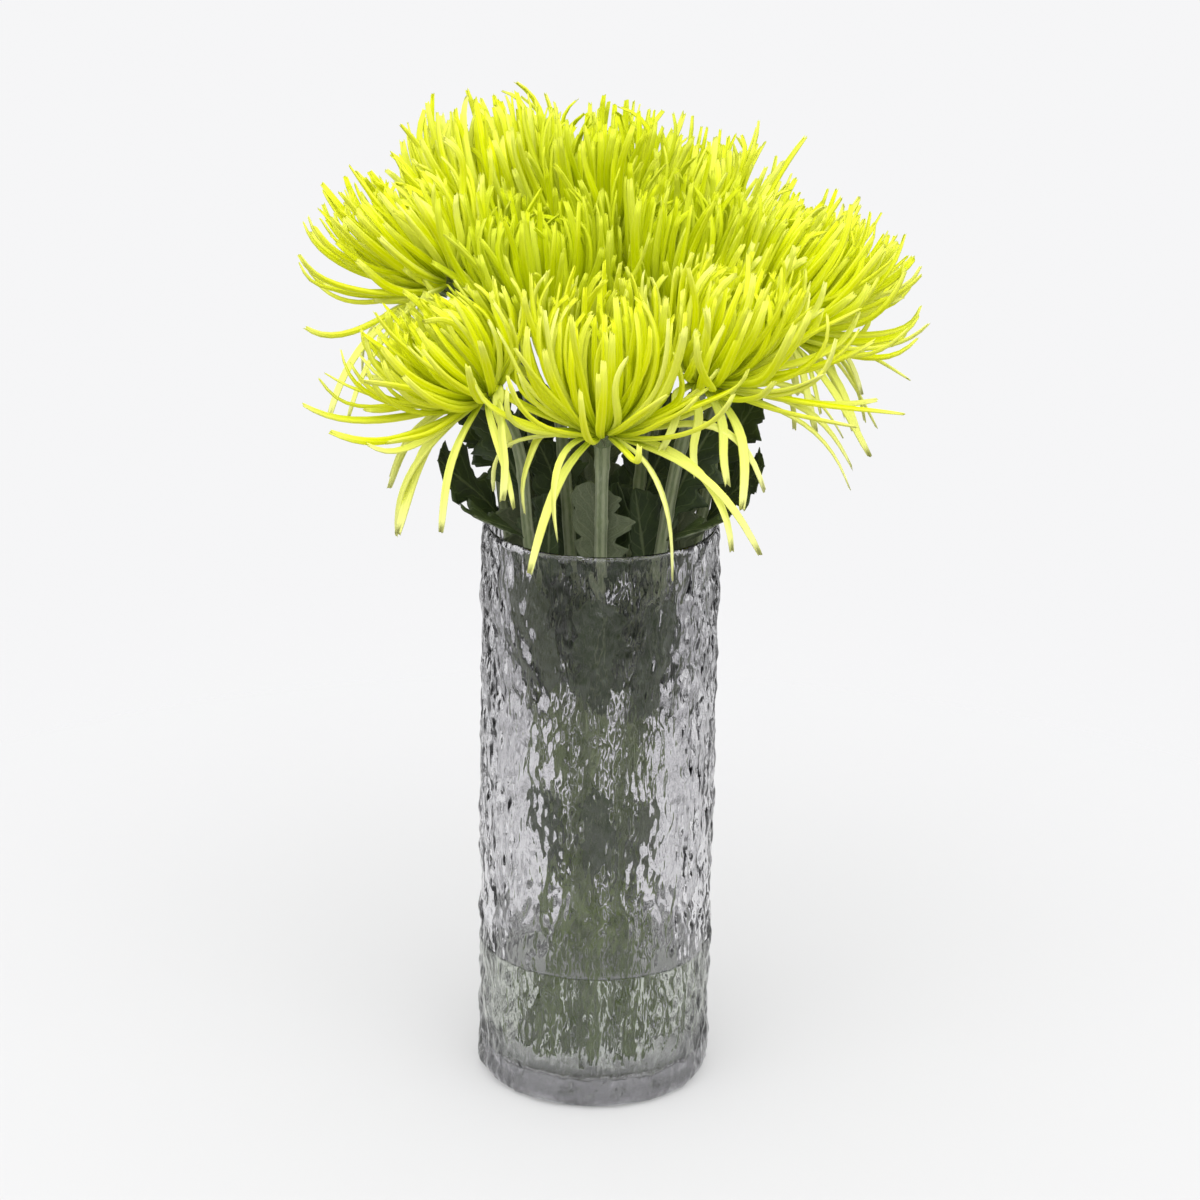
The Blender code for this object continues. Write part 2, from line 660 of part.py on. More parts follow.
def build_water(routes, parts, cutters, finish):
    """Water on the vase floor, with a plain hole for every stem that stands in it"""
    side = VASE_BORE - GAP
    low = VASE_FLOOR + GAP
    profile = [(0.0, WATER_TOP), (side, WATER_TOP), (side, low + BORE_CHAMFER),
               (side - BORE_CHAMFER, low), (0.0, low)]
    water = turned("water", profile, VASE_COLUMNS, parts)
    holes = bpy.data.collections.new("stem_holes")
    cutters.children.link(holes)
    for number, route in enumerate(routes):
        run = (route[1] - route[0]).normalized()
        line = [route[0] - run * HOLE_SPARE, route[0] + run * (WATER_TOP - VASE_FLOOR + HOLE_SPARE)]
        hole = tube("hole_%02d" % (number + 1), line, STEM_RADIUS + 2 * GAP, holes)
        hole.hide_render = True
        hole.display_type = "WIRE"
    cut = water.modifiers.new("holes", "BOOLEAN")
    cut.operation = "DIFFERENCE"
    cut.operand_type = "COLLECTION"
    cut.collection = holes
    cut.solver = "EXACT"
    water.data.materials.append(finish)
    return water


def build():
    parts = start_scene()
    cutters = bpy.data.collections.new("cutters")
    bpy.context.scene.collection.children.link(cutters)
    glass = make_material("smoke_glass", *GLASS_GREY)
    clear = make_material("clear_water", *WATER_CLEAR)
    green = make_material("stem_green", *STEM_GREEN)
    petal = make_material("petal_green", *PETAL_GREEN)

    routes = [stem_route(flower) for flower in FLOWERS]
    spines = []
    taken = Taken()
    for owner, (flower, route) in enumerate(zip(FLOWERS, routes)):
        axis = head_axis(flower)
        calyx = calyx_end(flower)
        spines.append(route + [calyx, calyx + axis * AXIS_REACH])
        taken.add(along(route, SPOT_SPACING), STEM_RADIUS, owner)
        taken.add([calyx - axis * CALYX_HEIGHT / 2], CALYX_RADIUS, owner)
        for height, radius in HEART_ROOM:
            taken.add([calyx + axis * height], radius, owner)
    leaves = plan_leaves(spines, taken)
    petals = plan_petals(spines, taken)

    build_vase(parts, glass)
    build_water(routes, parts, cutters, clear)
    for owner, route in enumerate(routes):
        build_stem(owner, route, leaves[owner], parts, green)
        build_bloom(owner, petals[owner], parts, petal)


build()
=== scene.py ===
"""Twelve spider chrysanthemums in a tall vase of smoke-grey bark glass, with some water.

Metres, +Z up, the vase's foot on z = 0, the viewer at -Y. Every piece stands where its solid stands.
"""

import math
import random

import bpy
import numpy as np
from mathutils import Matrix, Vector, noise


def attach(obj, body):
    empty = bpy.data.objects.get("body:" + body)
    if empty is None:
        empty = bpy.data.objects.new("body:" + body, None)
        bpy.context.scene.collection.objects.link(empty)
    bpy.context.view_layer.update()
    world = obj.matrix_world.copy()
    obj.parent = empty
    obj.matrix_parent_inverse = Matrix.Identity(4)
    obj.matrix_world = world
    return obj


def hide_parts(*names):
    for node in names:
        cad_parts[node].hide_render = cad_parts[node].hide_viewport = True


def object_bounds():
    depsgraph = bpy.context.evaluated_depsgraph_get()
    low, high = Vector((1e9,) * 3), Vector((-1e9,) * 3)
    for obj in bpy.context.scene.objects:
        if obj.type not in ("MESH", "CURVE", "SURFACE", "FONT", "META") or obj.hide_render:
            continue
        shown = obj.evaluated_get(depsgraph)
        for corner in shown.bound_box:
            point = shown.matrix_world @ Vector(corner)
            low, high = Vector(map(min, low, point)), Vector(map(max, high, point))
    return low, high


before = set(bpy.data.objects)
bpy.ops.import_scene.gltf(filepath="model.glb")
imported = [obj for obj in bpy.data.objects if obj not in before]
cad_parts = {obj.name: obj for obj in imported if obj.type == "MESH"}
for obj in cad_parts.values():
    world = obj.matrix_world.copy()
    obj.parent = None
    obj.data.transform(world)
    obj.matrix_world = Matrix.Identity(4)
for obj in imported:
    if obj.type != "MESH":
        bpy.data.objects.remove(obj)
solid_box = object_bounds()

# Vase: one gather of smoke-grey glass, pressed into a mould that is cut like bark. The relief is all outside,
# the bore is smooth, the floor is a thick slug of glass, and the lip is melted round in the flame.
VASE_HEIGHT = 0.300
VASE_RADIUS = 0.0598
VASE_BORE = 0.0565
VASE_FLOOR = 0.0140
VASE_COLUMNS = 380
LIP_ROUND = 0.0013
BARK_ROWS = 206
BARK_DEPTH = 0.0027
BARK_PITS = 0.0018
BARK_LOW = -0.0023        # the wall is cut no deeper than this
BARK_EDGE = 0.0015        # the relief stops this far under the lip
BARK_FADE = 0.008         # and fades over this distance
FOOT_SHARE = 0.45         # how much of the relief is left at the foot's edge
FOOT_FADE = 0.010
# Waves of the relief a metre, around the vase and up it
BEND_WAVES = (60, 50)
RIDGE_WAVES = (200, 74)
PEBBLE_WAVES = (118, 78)
GRIT_WAVES = (400, 190)
PIT_WAVES = (205, 92)
RIDGE_BEND = 0.8
PIT_SIZE = 0.29
SEAM_WIDTH = 0.0012
# How much each kind of relief adds, and the mean that keeps the wall on its radius
STREAK_SHARE = 0.20
RIDGE_SHARE = 0.20
PEBBLE_SHARE = 0.62
GRIT_SHARE = 0.18
SEAM_SHARE = 0.10
RELIEF_MEAN = 0.03
GLASS_TINT = (0.885, 0.88, 0.895, 1.0)
SMOKE = (0.40, 0.395, 0.425, 1.0)
SMOKE_DENSITY = 9.5


class Wire:
    """One socket in a material. Arithmetic on it adds a Math node, or a Vector Math node for vectors"""

    def __init__(self, tree, socket=None):
        self.tree = tree
        self.socket = socket

    def node(self, kind, settings, sockets, output=0):
        """Adds a node with its settings and its sockets' values or wires, and gives one output"""
        made = self.tree.nodes.new(kind)
        for name, value in settings.items():
            setattr(made, name, value)
        for name, value in sockets.items():
            self.join(made.inputs[name], value)
        return Wire(self.tree, made.outputs[output])

    def join(self, socket, value):
        if isinstance(value, Wire):
            self.tree.links.new(value.socket, socket)
        else:
            socket.default_value = value

    def work(self, operation, first, second=0.0):
        wires = [side for side in (first, second) if isinstance(side, Wire)]
        plain = all(wire.socket.type == "VALUE" for wire in wires)
        kind = "ShaderNodeMath" if plain else "ShaderNodeVectorMath"
        return self.node(kind, {"operation": operation}, {0: first, 1: second})

    def __add__(self, other):
        return self.work("ADD", self, other)

    def __radd__(self, other):
        return self.work("ADD", other, self)

    def __sub__(self, other):
        return self.work("SUBTRACT", self, other)

    def __rsub__(self, other):
        return self.work("SUBTRACT", other, self)

    def __mul__(self, other):
        return self.work("MULTIPLY", self, other)

    def __rmul__(self, other):
        return self.work("MULTIPLY", other, self)


def start_finish(name, **constants):
    """New material, its shader with what is the same all over, and a wire to build the rest from"""
    finish = bpy.data.materials.new(name)
    finish.use_nodes = True
    shader = finish.node_tree.nodes["Principled BSDF"]
    for socket, value in constants.items():
        shader.inputs[socket.replace("_", " ")].default_value = value
    return finish, shader, Wire(finish.node_tree)


def part_of(vector, number):
    """One of a vector wire's three parts"""
    return vector.node("ShaderNodeSeparateXYZ", {}, {0: vector}, output=number)


def step_between(wire, low, high):
    """0 at low, 1 at high, smooth between"""
    return wire.node("ShaderNodeMapRange", {"interpolation_type": "SMOOTHSTEP"},
                     {"Value": wire, "From Min": low, "From Max": high})


def mixed(mask, first, second):
    """First colour where the mask is 0, second where it is 1"""
    return mask.node("ShaderNodeMix", {"data_type": "RGBA"}, {0: mask, 6: first, 7: second}, output=2)


def grainy(wire, place, scale, detail=3.0):
    """Noise of a scale over places, from 0 to 1"""
    return wire.node("ShaderNodeTexNoise", {}, {"Vector": place, "Scale": scale, "Detail": detail,
                                                "Roughness": 0.55})


def add_bump(wire, shader, height, strength, distance):
    """Fine relief of a finish, too small for the mesh"""
    relief = wire.node("ShaderNodeBump", {}, {"Height": height, "Strength": strength, "Distance": distance})
    wire.join(shader.inputs["Normal"], relief)


def tint_through(wire, finish, colour, density):
    """Colour that light takes on in the body of a clear finish"""
    tint = wire.node("ShaderNodeVolumeAbsorption", {}, {"Color": colour, "Density": density})
    wire.join(finish.node_tree.nodes["Material Output"].inputs["Volume"], tint)


def add_object(name, data):
    made = bpy.data.objects.new(name, data)
    bpy.context.scene.collection.objects.link(made)
    return made


def add_piece(name, points, faces, finish, slot, *nodes):
    """Smooth mesh piece on the one body, which stands for the named nodes of the frame"""
    mesh = bpy.data.meshes.new(name)
    mesh.from_pydata(points, [], faces)
    mesh.shade_smooth()
    mesh.materials.append(finish)
    piece = add_object(name, mesh)
    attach(piece, "root")
    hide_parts(*nodes)
    return piece


def ring_faces(rings, sides):
    """Quads between rings of points that lie one after another"""
    ring = np.arange(rings - 1)[:, None] * sides
    side = np.arange(sides)[None, :]
    after = (side + 1) % sides
    quads = np.stack([ring + side, ring + after, ring + sides + after, ring + sides + side], axis=-1)
    return quads.reshape(-1, 4).tolist()


def turned(rings):
    """Closed body of rings from its low end on the axis to its high end, each ring turning anticlockwise"""
    sides = rings.shape[1]
    points = np.vstack([rings.reshape(-1, 3), rings[0].mean(axis=0)[None], rings[-1].mean(axis=0)[None]])
    last = len(rings) * sides
    faces = ring_faces(len(rings), sides)
    for side in range(sides):
        after = (side + 1) % sides
        faces.append((last, after, side))
        faces.append((last + 1, last - sides + side, last - sides + after))
    return points, faces


def bark(turn, height):
    """The mould's cut as the frame's vase has it, from -1 to 1: long streaks that wander and break"""
    drift = math.tau * height
    streak = math.sin(8 * turn + 1.3 * math.sin(drift / 0.130 + 2 * turn))
    stripe = math.sin(12 * turn - 1.5 * math.sin(drift / 0.090 + 3 * turn) + 1.0)
    broken = math.sin(drift / 0.060 + 3.0 * math.sin(5 * turn))
    return 0.42 * streak + 0.36 * stripe + 0.22 * broken


def bark_relief(turn, height):
    """Height of the relief: the mould's streaks, ridges that run up the vase, pebbles, and long pits"""
    around = Vector((math.cos(turn), math.sin(turn), 0.0)) * VASE_RADIUS
    bend = noise.noise(around * BEND_WAVES[0] + Vector((0, 0, height * BEND_WAVES[1]))) * RIDGE_BEND
    spot = Vector((around.x * RIDGE_WAVES[0] + bend, around.y * RIDGE_WAVES[0] - bend,
                   height * RIDGE_WAVES[1]))
    ridges = 1.0 - 2.4 * abs(noise.noise(spot))
    pebbles = noise.noise(Vector((around.x * PEBBLE_WAVES[0], around.y * PEBBLE_WAVES[0],
                                  height * PEBBLE_WAVES[1] + 7)))
    grit = noise.noise(Vector((around.x * GRIT_WAVES[0], around.y * GRIT_WAVES[0], height * GRIT_WAVES[1])))
    cell = noise.voronoi(Vector((around.x * PIT_WAVES[0] + bend, around.y * PIT_WAVES[0],
                                 height * PIT_WAVES[1] + 0.9 * bend)))[0][0]
    pit = math.exp(-(cell / PIT_SIZE)**2) * (0.50 + 1.3 * noise.noise(spot * 0.5 + Vector((9, 4, 2))))
    seam = math.exp(-(math.cos(turn) * VASE_RADIUS / SEAM_WIDTH)**2)
    rise = (STREAK_SHARE * bark(turn, height) + RIDGE_SHARE * ridges + PEBBLE_SHARE * pebbles
            + GRIT_SHARE * grit + SEAM_SHARE * seam - RELIEF_MEAN)
    return max(BARK_LOW, BARK_DEPTH * rise - BARK_PITS * max(0.0, pit))


inside = [(0.020, VASE_FLOOR), (0.040, VASE_FLOOR), (VASE_BORE - 0.006, VASE_FLOOR),
          (VASE_BORE - 0.002, VASE_FLOOR + 0.002), (VASE_BORE, VASE_FLOOR + 0.006)]
inside += [(VASE_BORE, height) for height in np.linspace(0.03, VASE_HEIGHT - LIP_ROUND, 14)]
lip = [(VASE_BORE + LIP_ROUND * (1 - math.cos(angle)), VASE_HEIGHT - LIP_ROUND * (1 - math.sin(angle)))
       for angle in np.linspace(0.3, math.pi - 0.3, 7)]
wall = [(VASE_RADIUS, height) for height in np.linspace(VASE_HEIGHT - 0.002, 0.012, BARK_ROWS)]
foot = [(VASE_RADIUS + 0.0006, 0.0095), (VASE_RADIUS + 0.0006, 0.007), (VASE_RADIUS, 0.0045),
        (VASE_RADIUS - 0.0014, 0.002), (VASE_RADIUS - 0.0034, 0.0005), (VASE_RADIUS - 0.006, 0.0),
        (0.040, 0.0006), (0.020, 0.0006)]
turns = np.linspace(0, math.tau, VASE_COLUMNS, endpoint=False)
rings = []
for radius, height in inside + lip + wall + foot:
    away = np.full(VASE_COLUMNS, radius)
    if radius > VASE_BORE and height < VASE_HEIGHT - BARK_EDGE:
        fade = min(1.0, (VASE_HEIGHT - BARK_EDGE - height) / BARK_FADE, FOOT_SHARE + height / FOOT_FADE)
        away += [fade * bark_relief(turn, height) for turn in turns]
    level = np.full(VASE_COLUMNS, height)
    rings.append(np.stack([away * np.cos(turns), away * np.sin(turns), level], axis=-1))
vase_points, vase_faces = turned(np.array(rings[::-1]))

smoke_glass, glass_shader, glass = start_finish("smoke_glass", Base_Color=GLASS_TINT, Roughness=0.01,
                                                IOR=1.50, Transmission_Weight=1.0)
place = glass.node("ShaderNodeTexCoord", {}, {}, output="Object")
wrinkles = grainy(glass, place * (1.0, 1.0, 0.34), 360.0, detail=1.5)
seeds = grainy(glass, place, 900.0, detail=2.0)
add_bump(glass, glass_shader, wrinkles * 0.9 + seeds * 0.1, strength=0.34, distance=0.0012)
tint_through(glass, smoke_glass, SMOKE, SMOKE_DENSITY)
add_piece("vase_glass", vase_points, vase_faces, smoke_glass, "smoke_glass", "vase")

# Water: about six centimetres of it, tinted a little by the stems that have stood in it.
# It wets the glass, so its edge climbs the bore by a millimetre and a half.
WATER_TOP = 0.072
WATER_INTO_GLASS = 0.00015  # into the glass, so that no air lies between them
WATER_SIDE = VASE_BORE + WATER_INTO_GLASS
WATER_LOW = VASE_FLOOR - WATER_INTO_GLASS
WATER_COLUMNS = 96
WATER_TINT = (0.80, 0.88, 0.70, 1.0)
WATER_DENSITY = 9.0

water_profile = [(0.020, WATER_LOW), (WATER_SIDE - 0.006, WATER_LOW), (WATER_SIDE - 0.002, WATER_LOW + 0.002),
                 (WATER_SIDE, WATER_LOW + 0.006), (WATER_SIDE, WATER_TOP), (WATER_SIDE, WATER_TOP + 0.0015),
                 (WATER_SIDE - 0.0006, WATER_TOP + 0.0008), (WATER_SIDE - 0.0018, WATER_TOP + 0.0003),
                 (WATER_SIDE - 0.0045, WATER_TOP), (0.020, WATER_TOP)]
turns = np.linspace(0, math.tau, WATER_COLUMNS, endpoint=False)
rings = [[(radius * math.cos(turn), radius * math.sin(turn), height) for turn in turns]
         for radius, height in water_profile]
water_points, water_faces = turned(np.array(rings))
clear_water, water_shader, water = start_finish("clear_water", Base_Color=(1.0, 1.0, 1.0, 1.0), Roughness=0.0,
                                                IOR=1.333, Transmission_Weight=1.0)
place = water.node("ShaderNodeTexCoord", {}, {}, output="Object")
add_bump(water, water_shader, grainy(water, place, 60.0, detail=1.0), strength=0.08, distance=0.001)
tint_through(water, clear_water, WATER_TINT, WATER_DENSITY)
add_piece("water_body", water_points, water_faces, clear_water, "clear_water", "water")

# Stems: ribbed, grey-green, a little downy, 6 mm thick, cut on the slant under water. They stand on the vase
# floor in a loose bundle that opens towards the rim. Each grew in one piece with its leaves.
STEM_RADIUS = 0.0029
STEM_RIBS = 6
STEM_SIDES = 24
STEM_STATIONS = 22        # on each of a stem's three stretches
RIB_DEPTH = 0.00028
NODE_SPACING = 0.038      # between the joints that leaves grow from
NODE_LENGTH = 0.0022
NODE_SWELL = 0.0005
NECK_SWELL = ((0.0, 0.012, 0.030), (0.0011, 0.0005, 0.0))  # below the head: distance, how much thicker
CUT_SLANT = 0.9
CUT_LIFT = 0.0004
BUNDLE_FLOOR = 0.33       # share of a head's reach that its stem has on the floor
BUNDLE_NECK = 0.30        # and in the bundle's neck
NECK_HEIGHT = 0.150
RIM_REACH = 0.0515
RIM_SHARE = 0.62
CALYX_HEIGHT = 0.0085
GAP = 0.0003
STEM_GROOVE = (0.140, 0.180, 0.080, 1.0)
STEM_RIDGE = (0.310, 0.350, 0.205, 1.0)
STEM_DOWN = (0.400, 0.420, 0.290, 1.0)
STEM_BLOTCH = (0.130, 0.180, 0.060, 1.0)
STEM_WET = (0.165, 0.235, 0.045, 1.0)
# Where each calyx ends (x, y, z), how far its head leans in degrees, and the compass it leans to
FLOWERS = [
    (0.000, -0.072, 0.369, 10, 270), (-0.057, -0.054, 0.382, 40, 198), (0.049, -0.052, 0.390, 24, 322),
    (-0.077, 0.004, 0.423, 38, 178), (0.080, -0.002, 0.406, 34, 357), (-0.026, -0.018, 0.404, 8, 220),
    (0.028, -0.008, 0.410, 10, 330), (-0.004, 0.034, 0.431, 4, 90), (-0.051, 0.062, 0.428, 18, 130),
    (0.036, 0.074, 0.411, 18, 66), (0.076, 0.050, 0.398, 34, 32), (-0.010, 0.094, 0.394, 32, 98),
]


def unit(rows):
    return rows / np.linalg.norm(rows, axis=-1, keepdims=True)


def dot(first, second):
    return (first * second).sum(axis=-1, keepdims=True)


def head_axis(flower):
    lean, compass = math.radians(flower[3]), math.radians(flower[4])
    return np.array([math.cos(compass) * math.sin(lean), math.sin(compass) * math.sin(lean), math.cos(lean)])


def hermite(near, leave, far, arrive, parts):
    """Points on a smooth curve between two stops, by its directions at both"""
    part = parts[:, None]
    return (near * (2 * part**3 - 3 * part**2 + 1) + leave * (part**3 - 2 * part**2 + part)
            + far * (3 * part**2 - 2 * part**3) + arrive * (part**3 - part**2))


def stem_route(flower):
    """Points from the vase floor through the bundle's neck and the rim to the underside of the calyx"""
    calyx = np.array(flower[:3])
    axis = head_axis(flower)
    end = calyx - axis * CALYX_HEIGHT
    level = calyx * (1, 1, 0)
    foot = level * BUNDLE_FLOOR + (0, 0, VASE_FLOOR + GAP)
    neck = level * BUNDLE_NECK + (0, 0, NECK_HEIGHT)
    away = np.linalg.norm(level)
    rim = level / away * min(RIM_REACH, away * RIM_SHARE) + (0, 0, VASE_HEIGHT)
    stops = [foot, neck, rim, end]
    ways = [unit(neck - foot), unit(rim - foot), unit(end - neck), axis]
    parts = np.arange(STEM_STATIONS) / STEM_STATIONS
    runs = []
    for stop in range(3):
        near, far = stops[stop], stops[stop + 1]
        reach = np.linalg.norm(far - near)
        runs.append(hermite(near, ways[stop] * reach, far, ways[stop + 1] * reach, parts))
    return np.vstack(runs + [end[None]])


def along_frames(paths, across):
    """Unit vectors along, across and up from each path: across is as given, but square to the path"""
    ahead = unit(np.gradient(paths, axis=-2))
    across = unit(across - ahead * dot(across, ahead))
    return ahead, across, np.cross(ahead, across)


def spread(shape, *values):
    """Rows of values, one for every point of a shape"""
    return np.stack([np.broadcast_to(value, shape) for value in values], axis=-1)


def keep_values(piece, name, values):
    """Keeps three values for every point of a piece, which its finish reads"""
    kept = piece.data.attributes.new(name, "FLOAT_VECTOR", "POINT")
    kept.data.foreach_set("vector", np.asarray(values, dtype=np.float32).ravel())


def kept_values(wire, name):
    return wire.node("ShaderNodeAttribute", {"attribute_name": name}, {}, output="Vector")


stem_green, stem_shader, stem = start_finish("stem_green", Roughness=0.62, Specular_IOR_Level=0.35,
                                             Sheen_Weight=0.25, Sheen_Roughness=0.5)
grain = kept_values(stem, "grain")
tone = kept_values(stem, "tone")
height = part_of(tone, 2)
fibres = grainy(stem, grain * (1.0, 1.0, 26.0), 9.0, detail=4.0)
blotch = grainy(stem, grain * (0.4, 0.4, 60.0), 1.2)
green = mixed(step_between(part_of(tone, 0), 0.1, 0.9), STEM_GROOVE, STEM_RIDGE)
green = mixed(step_between(fibres, 0.35, 0.75) * 0.6, green, STEM_DOWN)
green = mixed(step_between(blotch, 0.45, 0.75) * 0.5, green, STEM_BLOTCH)
green = mixed(step_between(height, 0.32, 0.08) * 0.80, green, STEM_WET)
stem.join(stem_shader.inputs["Base Color"], green)
add_bump(stem, stem_shader, fibres, strength=0.4, distance=0.0004)

routes = [stem_route(flower) for flower in FLOWERS]
around = np.linspace(0, math.tau, STEM_SIDES, endpoint=False)
for number, (flower, route) in enumerate(zip(FLOWERS, routes)):
    draw = random.Random(100 + number)
    spin = draw.uniform(0, math.tau)
    route = np.vstack([route, (np.array(flower[:3]) - head_axis(flower) * CALYX_HEIGHT * 0.4)[None]])
    ahead, across, up = along_frames(route, np.array([math.cos(spin), math.sin(spin), 0.0]))
    run = np.concatenate([[0.0], np.cumsum(np.linalg.norm(np.diff(route, axis=0), axis=1))])
    from_node = (run + 0.02 * spin) % NODE_SPACING - NODE_SPACING / 2
    swell = np.exp(-from_node**2 / NODE_LENGTH**2) * NODE_SWELL
    swell += np.interp(run[-1] - run, *NECK_SWELL)
    ribs = np.cos(around * STEM_RIBS + 0.35 * np.sin(around * 2 + spin))
    radius = (STEM_RADIUS + swell)[:, None] + RIB_DEPTH * ribs[None, :]
    rings = (route[:, None, :] + across[:, None, :] * (radius * np.cos(around))[..., None]
             + up[:, None, :] * (radius * np.sin(around))[..., None])
    cut = rings[0] - rings[0].mean(axis=0)
    rings[0] += ahead[0] * (cut @ across[0] + STEM_RADIUS + CUT_LIFT)[:, None] * CUT_SLANT
    points, faces = turned(rings)
    stem_name = "stem_%02d" % (number + 1)
    piece = add_piece(stem_name + "_stalk", points, faces, stem_green, "stem_green", stem_name)
    grains = spread(radius.shape, np.cos(around), np.sin(around), run[:, None] + number).reshape(-1, 3)
    tones = spread(radius.shape, ribs * 0.5 + 0.5, draw.random(), rings[..., 2]).reshape(-1, 3)
    keep_values(piece, "grain", np.vstack([grains, grains[:1], grains[-1:]]))
    keep_values(piece, "tone", np.vstack([tones, tones[:1], tones[-1:]]))

# Calyces: a green cup under each head, wrapped in three rings of small overlapping bracts with papery edges.
# The head's petals stand in it.
CUP_RADIUS = 0.0080
CUP_SIDES = 20
# Share of the cup's radius, and height in cups
CUP_PROFILE = ((0.38, -1.1), (0.45, -1.0), (0.72, -0.75), (0.93, -0.42), (1.0, -0.12), (0.9, 0.05),
               (0.4, 0.1))
# Count, height of the roots, length and lean of each ring of bracts
BRACT_RINGS = [(12, -0.0062, 0.0072, 24), (14, -0.0046, 0.0082, 30), (16, -0.0030, 0.0086, 38)]
RING_TURN = 900           # radians a metre up, so that rings don't line up
CUP_TAPER = 32            # how much narrower the cup is a metre lower
BRACT_WIDTH = 0.0034
BRACT_THICKNESS = 0.0008
BRACT_STATIONS = 6
BRACT_SIDES = 6
BRACT_DARK = (0.090, 0.130, 0.045, 1.0)
BRACT_LIGHT = (0.180, 0.215, 0.095, 1.0)
BRACT_EDGE = (0.420, 0.430, 0.260, 1.0)
BRACT_TIP = (0.360, 0.300, 0.130, 1.0)


def round_section(sides):
    angles = np.linspace(0, math.tau, sides, endpoint=False)
    return np.stack([np.cos(angles), np.sin(angles)], axis=-1)


def quills(paths, across, width, thick, section):
    """Blades or tubes along paths of equal stations: points as (paths, stations, sides, 3)"""
    _, across, up = along_frames(paths, across)
    outline = section[None, None, :, :]
    return (paths[:, :, None, :] + across[:, :, None, :] * (width[..., None] * outline[..., 0])[..., None] / 2
            + up[:, :, None, :] * (thick[..., None] * outline[..., 1])[..., None] / 2)


def quill_mesh(points, sink):
    """Points and faces of tubes, open at the root, and closed at the tip by a point that is sunk a little"""
    count, stations, sides, _ = points.shape
    ends = points[:, -1].mean(axis=1)
    ends = ends - unit(ends - points[:, -2].mean(axis=1)) * sink
    first = np.arange(count)[:, None] * stations * sides
    walls = np.array(ring_faces(stations, sides))[None] + first[:, :, None]
    side = np.arange(sides) + (stations - 1) * sides
    middle = np.broadcast_to((count * stations * sides + np.arange(count))[:, None], (count, sides))
    caps = np.stack([first + side, first + np.roll(side, -1), middle], axis=-1).reshape(-1, 3)
    return np.vstack([points.reshape(-1, 3), ends]), walls.reshape(-1, 4).tolist() + caps.tolist()


calyx_green, calyx_shader, calyx = start_finish("calyx_green", Roughness=0.6, Specular_IOR_Level=0.35)
grain = kept_values(calyx, "grain")
edge = part_of(grain, 0)
fibres = grainy(calyx, grain * (3.0, 1.0, 9.0), 7.0)
green = mixed(step_between(fibres, 0.3, 0.7), BRACT_DARK, BRACT_LIGHT)
green = mixed(step_between(edge * edge, 0.45, 1.0) * 0.8, green, BRACT_EDGE)
green = mixed(step_between(part_of(grain, 1), 0.8, 1.0) * 0.6, green, BRACT_TIP)
calyx.join(calyx_shader.inputs["Base Color"], green)
add_bump(calyx, calyx_shader, fibres, strength=0.4, distance=0.0004)

bract_section = round_section(BRACT_SIDES)
for number, flower in enumerate(FLOWERS):
    draw = random.Random(200 + number)
    axis = head_axis(flower)
    base = np.array(flower[:3])
    side = unit(np.cross(axis, (0.3, 0.9, 0.1)))
    other = np.cross(axis, side)
    turns = np.linspace(0, math.tau, CUP_SIDES, endpoint=False)
    spokes = side * np.cos(turns)[:, None] + other * np.sin(turns)[:, None]
    cup_points, cup_faces = turned(np.array([
        base + axis * (rise * CALYX_HEIGHT) + spokes * (out * CUP_RADIUS) for out, rise in CUP_PROFILE]))
    paths, outs = [], []
    for count, low, reach, lean in BRACT_RINGS:
        for spot in range(count):
            turn = math.tau * (spot + 0.5 * draw.random()) / count + low * RING_TURN
            out = side * math.cos(turn) + other * math.sin(turn)
            along = np.linspace(0, 1, BRACT_STATIONS)[:, None]
            tilt = math.radians(lean + draw.uniform(-6, 8))
            start = base + axis * low + out * CUP_RADIUS * (1.02 + low * CUP_TAPER)
            bend = (out * math.sin(tilt) + axis * math.cos(tilt)) * along + out * 0.16 * along**2
            paths.append(start + bend * reach * draw.uniform(0.9, 1.1))
            outs.append(np.cross(axis, out))
    paths = np.array(paths)
    along = np.linspace(0, 1, BRACT_STATIONS)
    width = BRACT_WIDTH * np.interp(along, (0, 0.35, 0.75, 1.0), (0.75, 1.0, 0.62, 0.10))
    thick = BRACT_THICKNESS * np.interp(along, (0, 0.5, 1.0), (1.0, 0.8, 0.3))
    blades = quills(paths, np.array(outs)[:, None, :], width, thick, bract_section)
    bract_points, bract_faces = quill_mesh(blades, 0.0)
    shift = len(cup_points)
    faces = cup_faces + [tuple(spot + shift for spot in face) for face in bract_faces]
    piece = add_piece("calyx_%02d_bracts" % (number + 1), np.vstack([cup_points, bract_points]), faces,
                      calyx_green, "stem_green", "stem_%02d" % (number + 1))
    own = np.arange(len(paths)) * 0.37
    grains = spread(blades.shape[:3], bract_section[:, 0], along[None, :, None], own[:, None, None])
    ends = spread(own.shape, 0.0, 1.0, own)
    keep_values(piece, "grain", np.vstack([np.zeros((shift, 3)), grains.reshape(-1, 3), ends]))

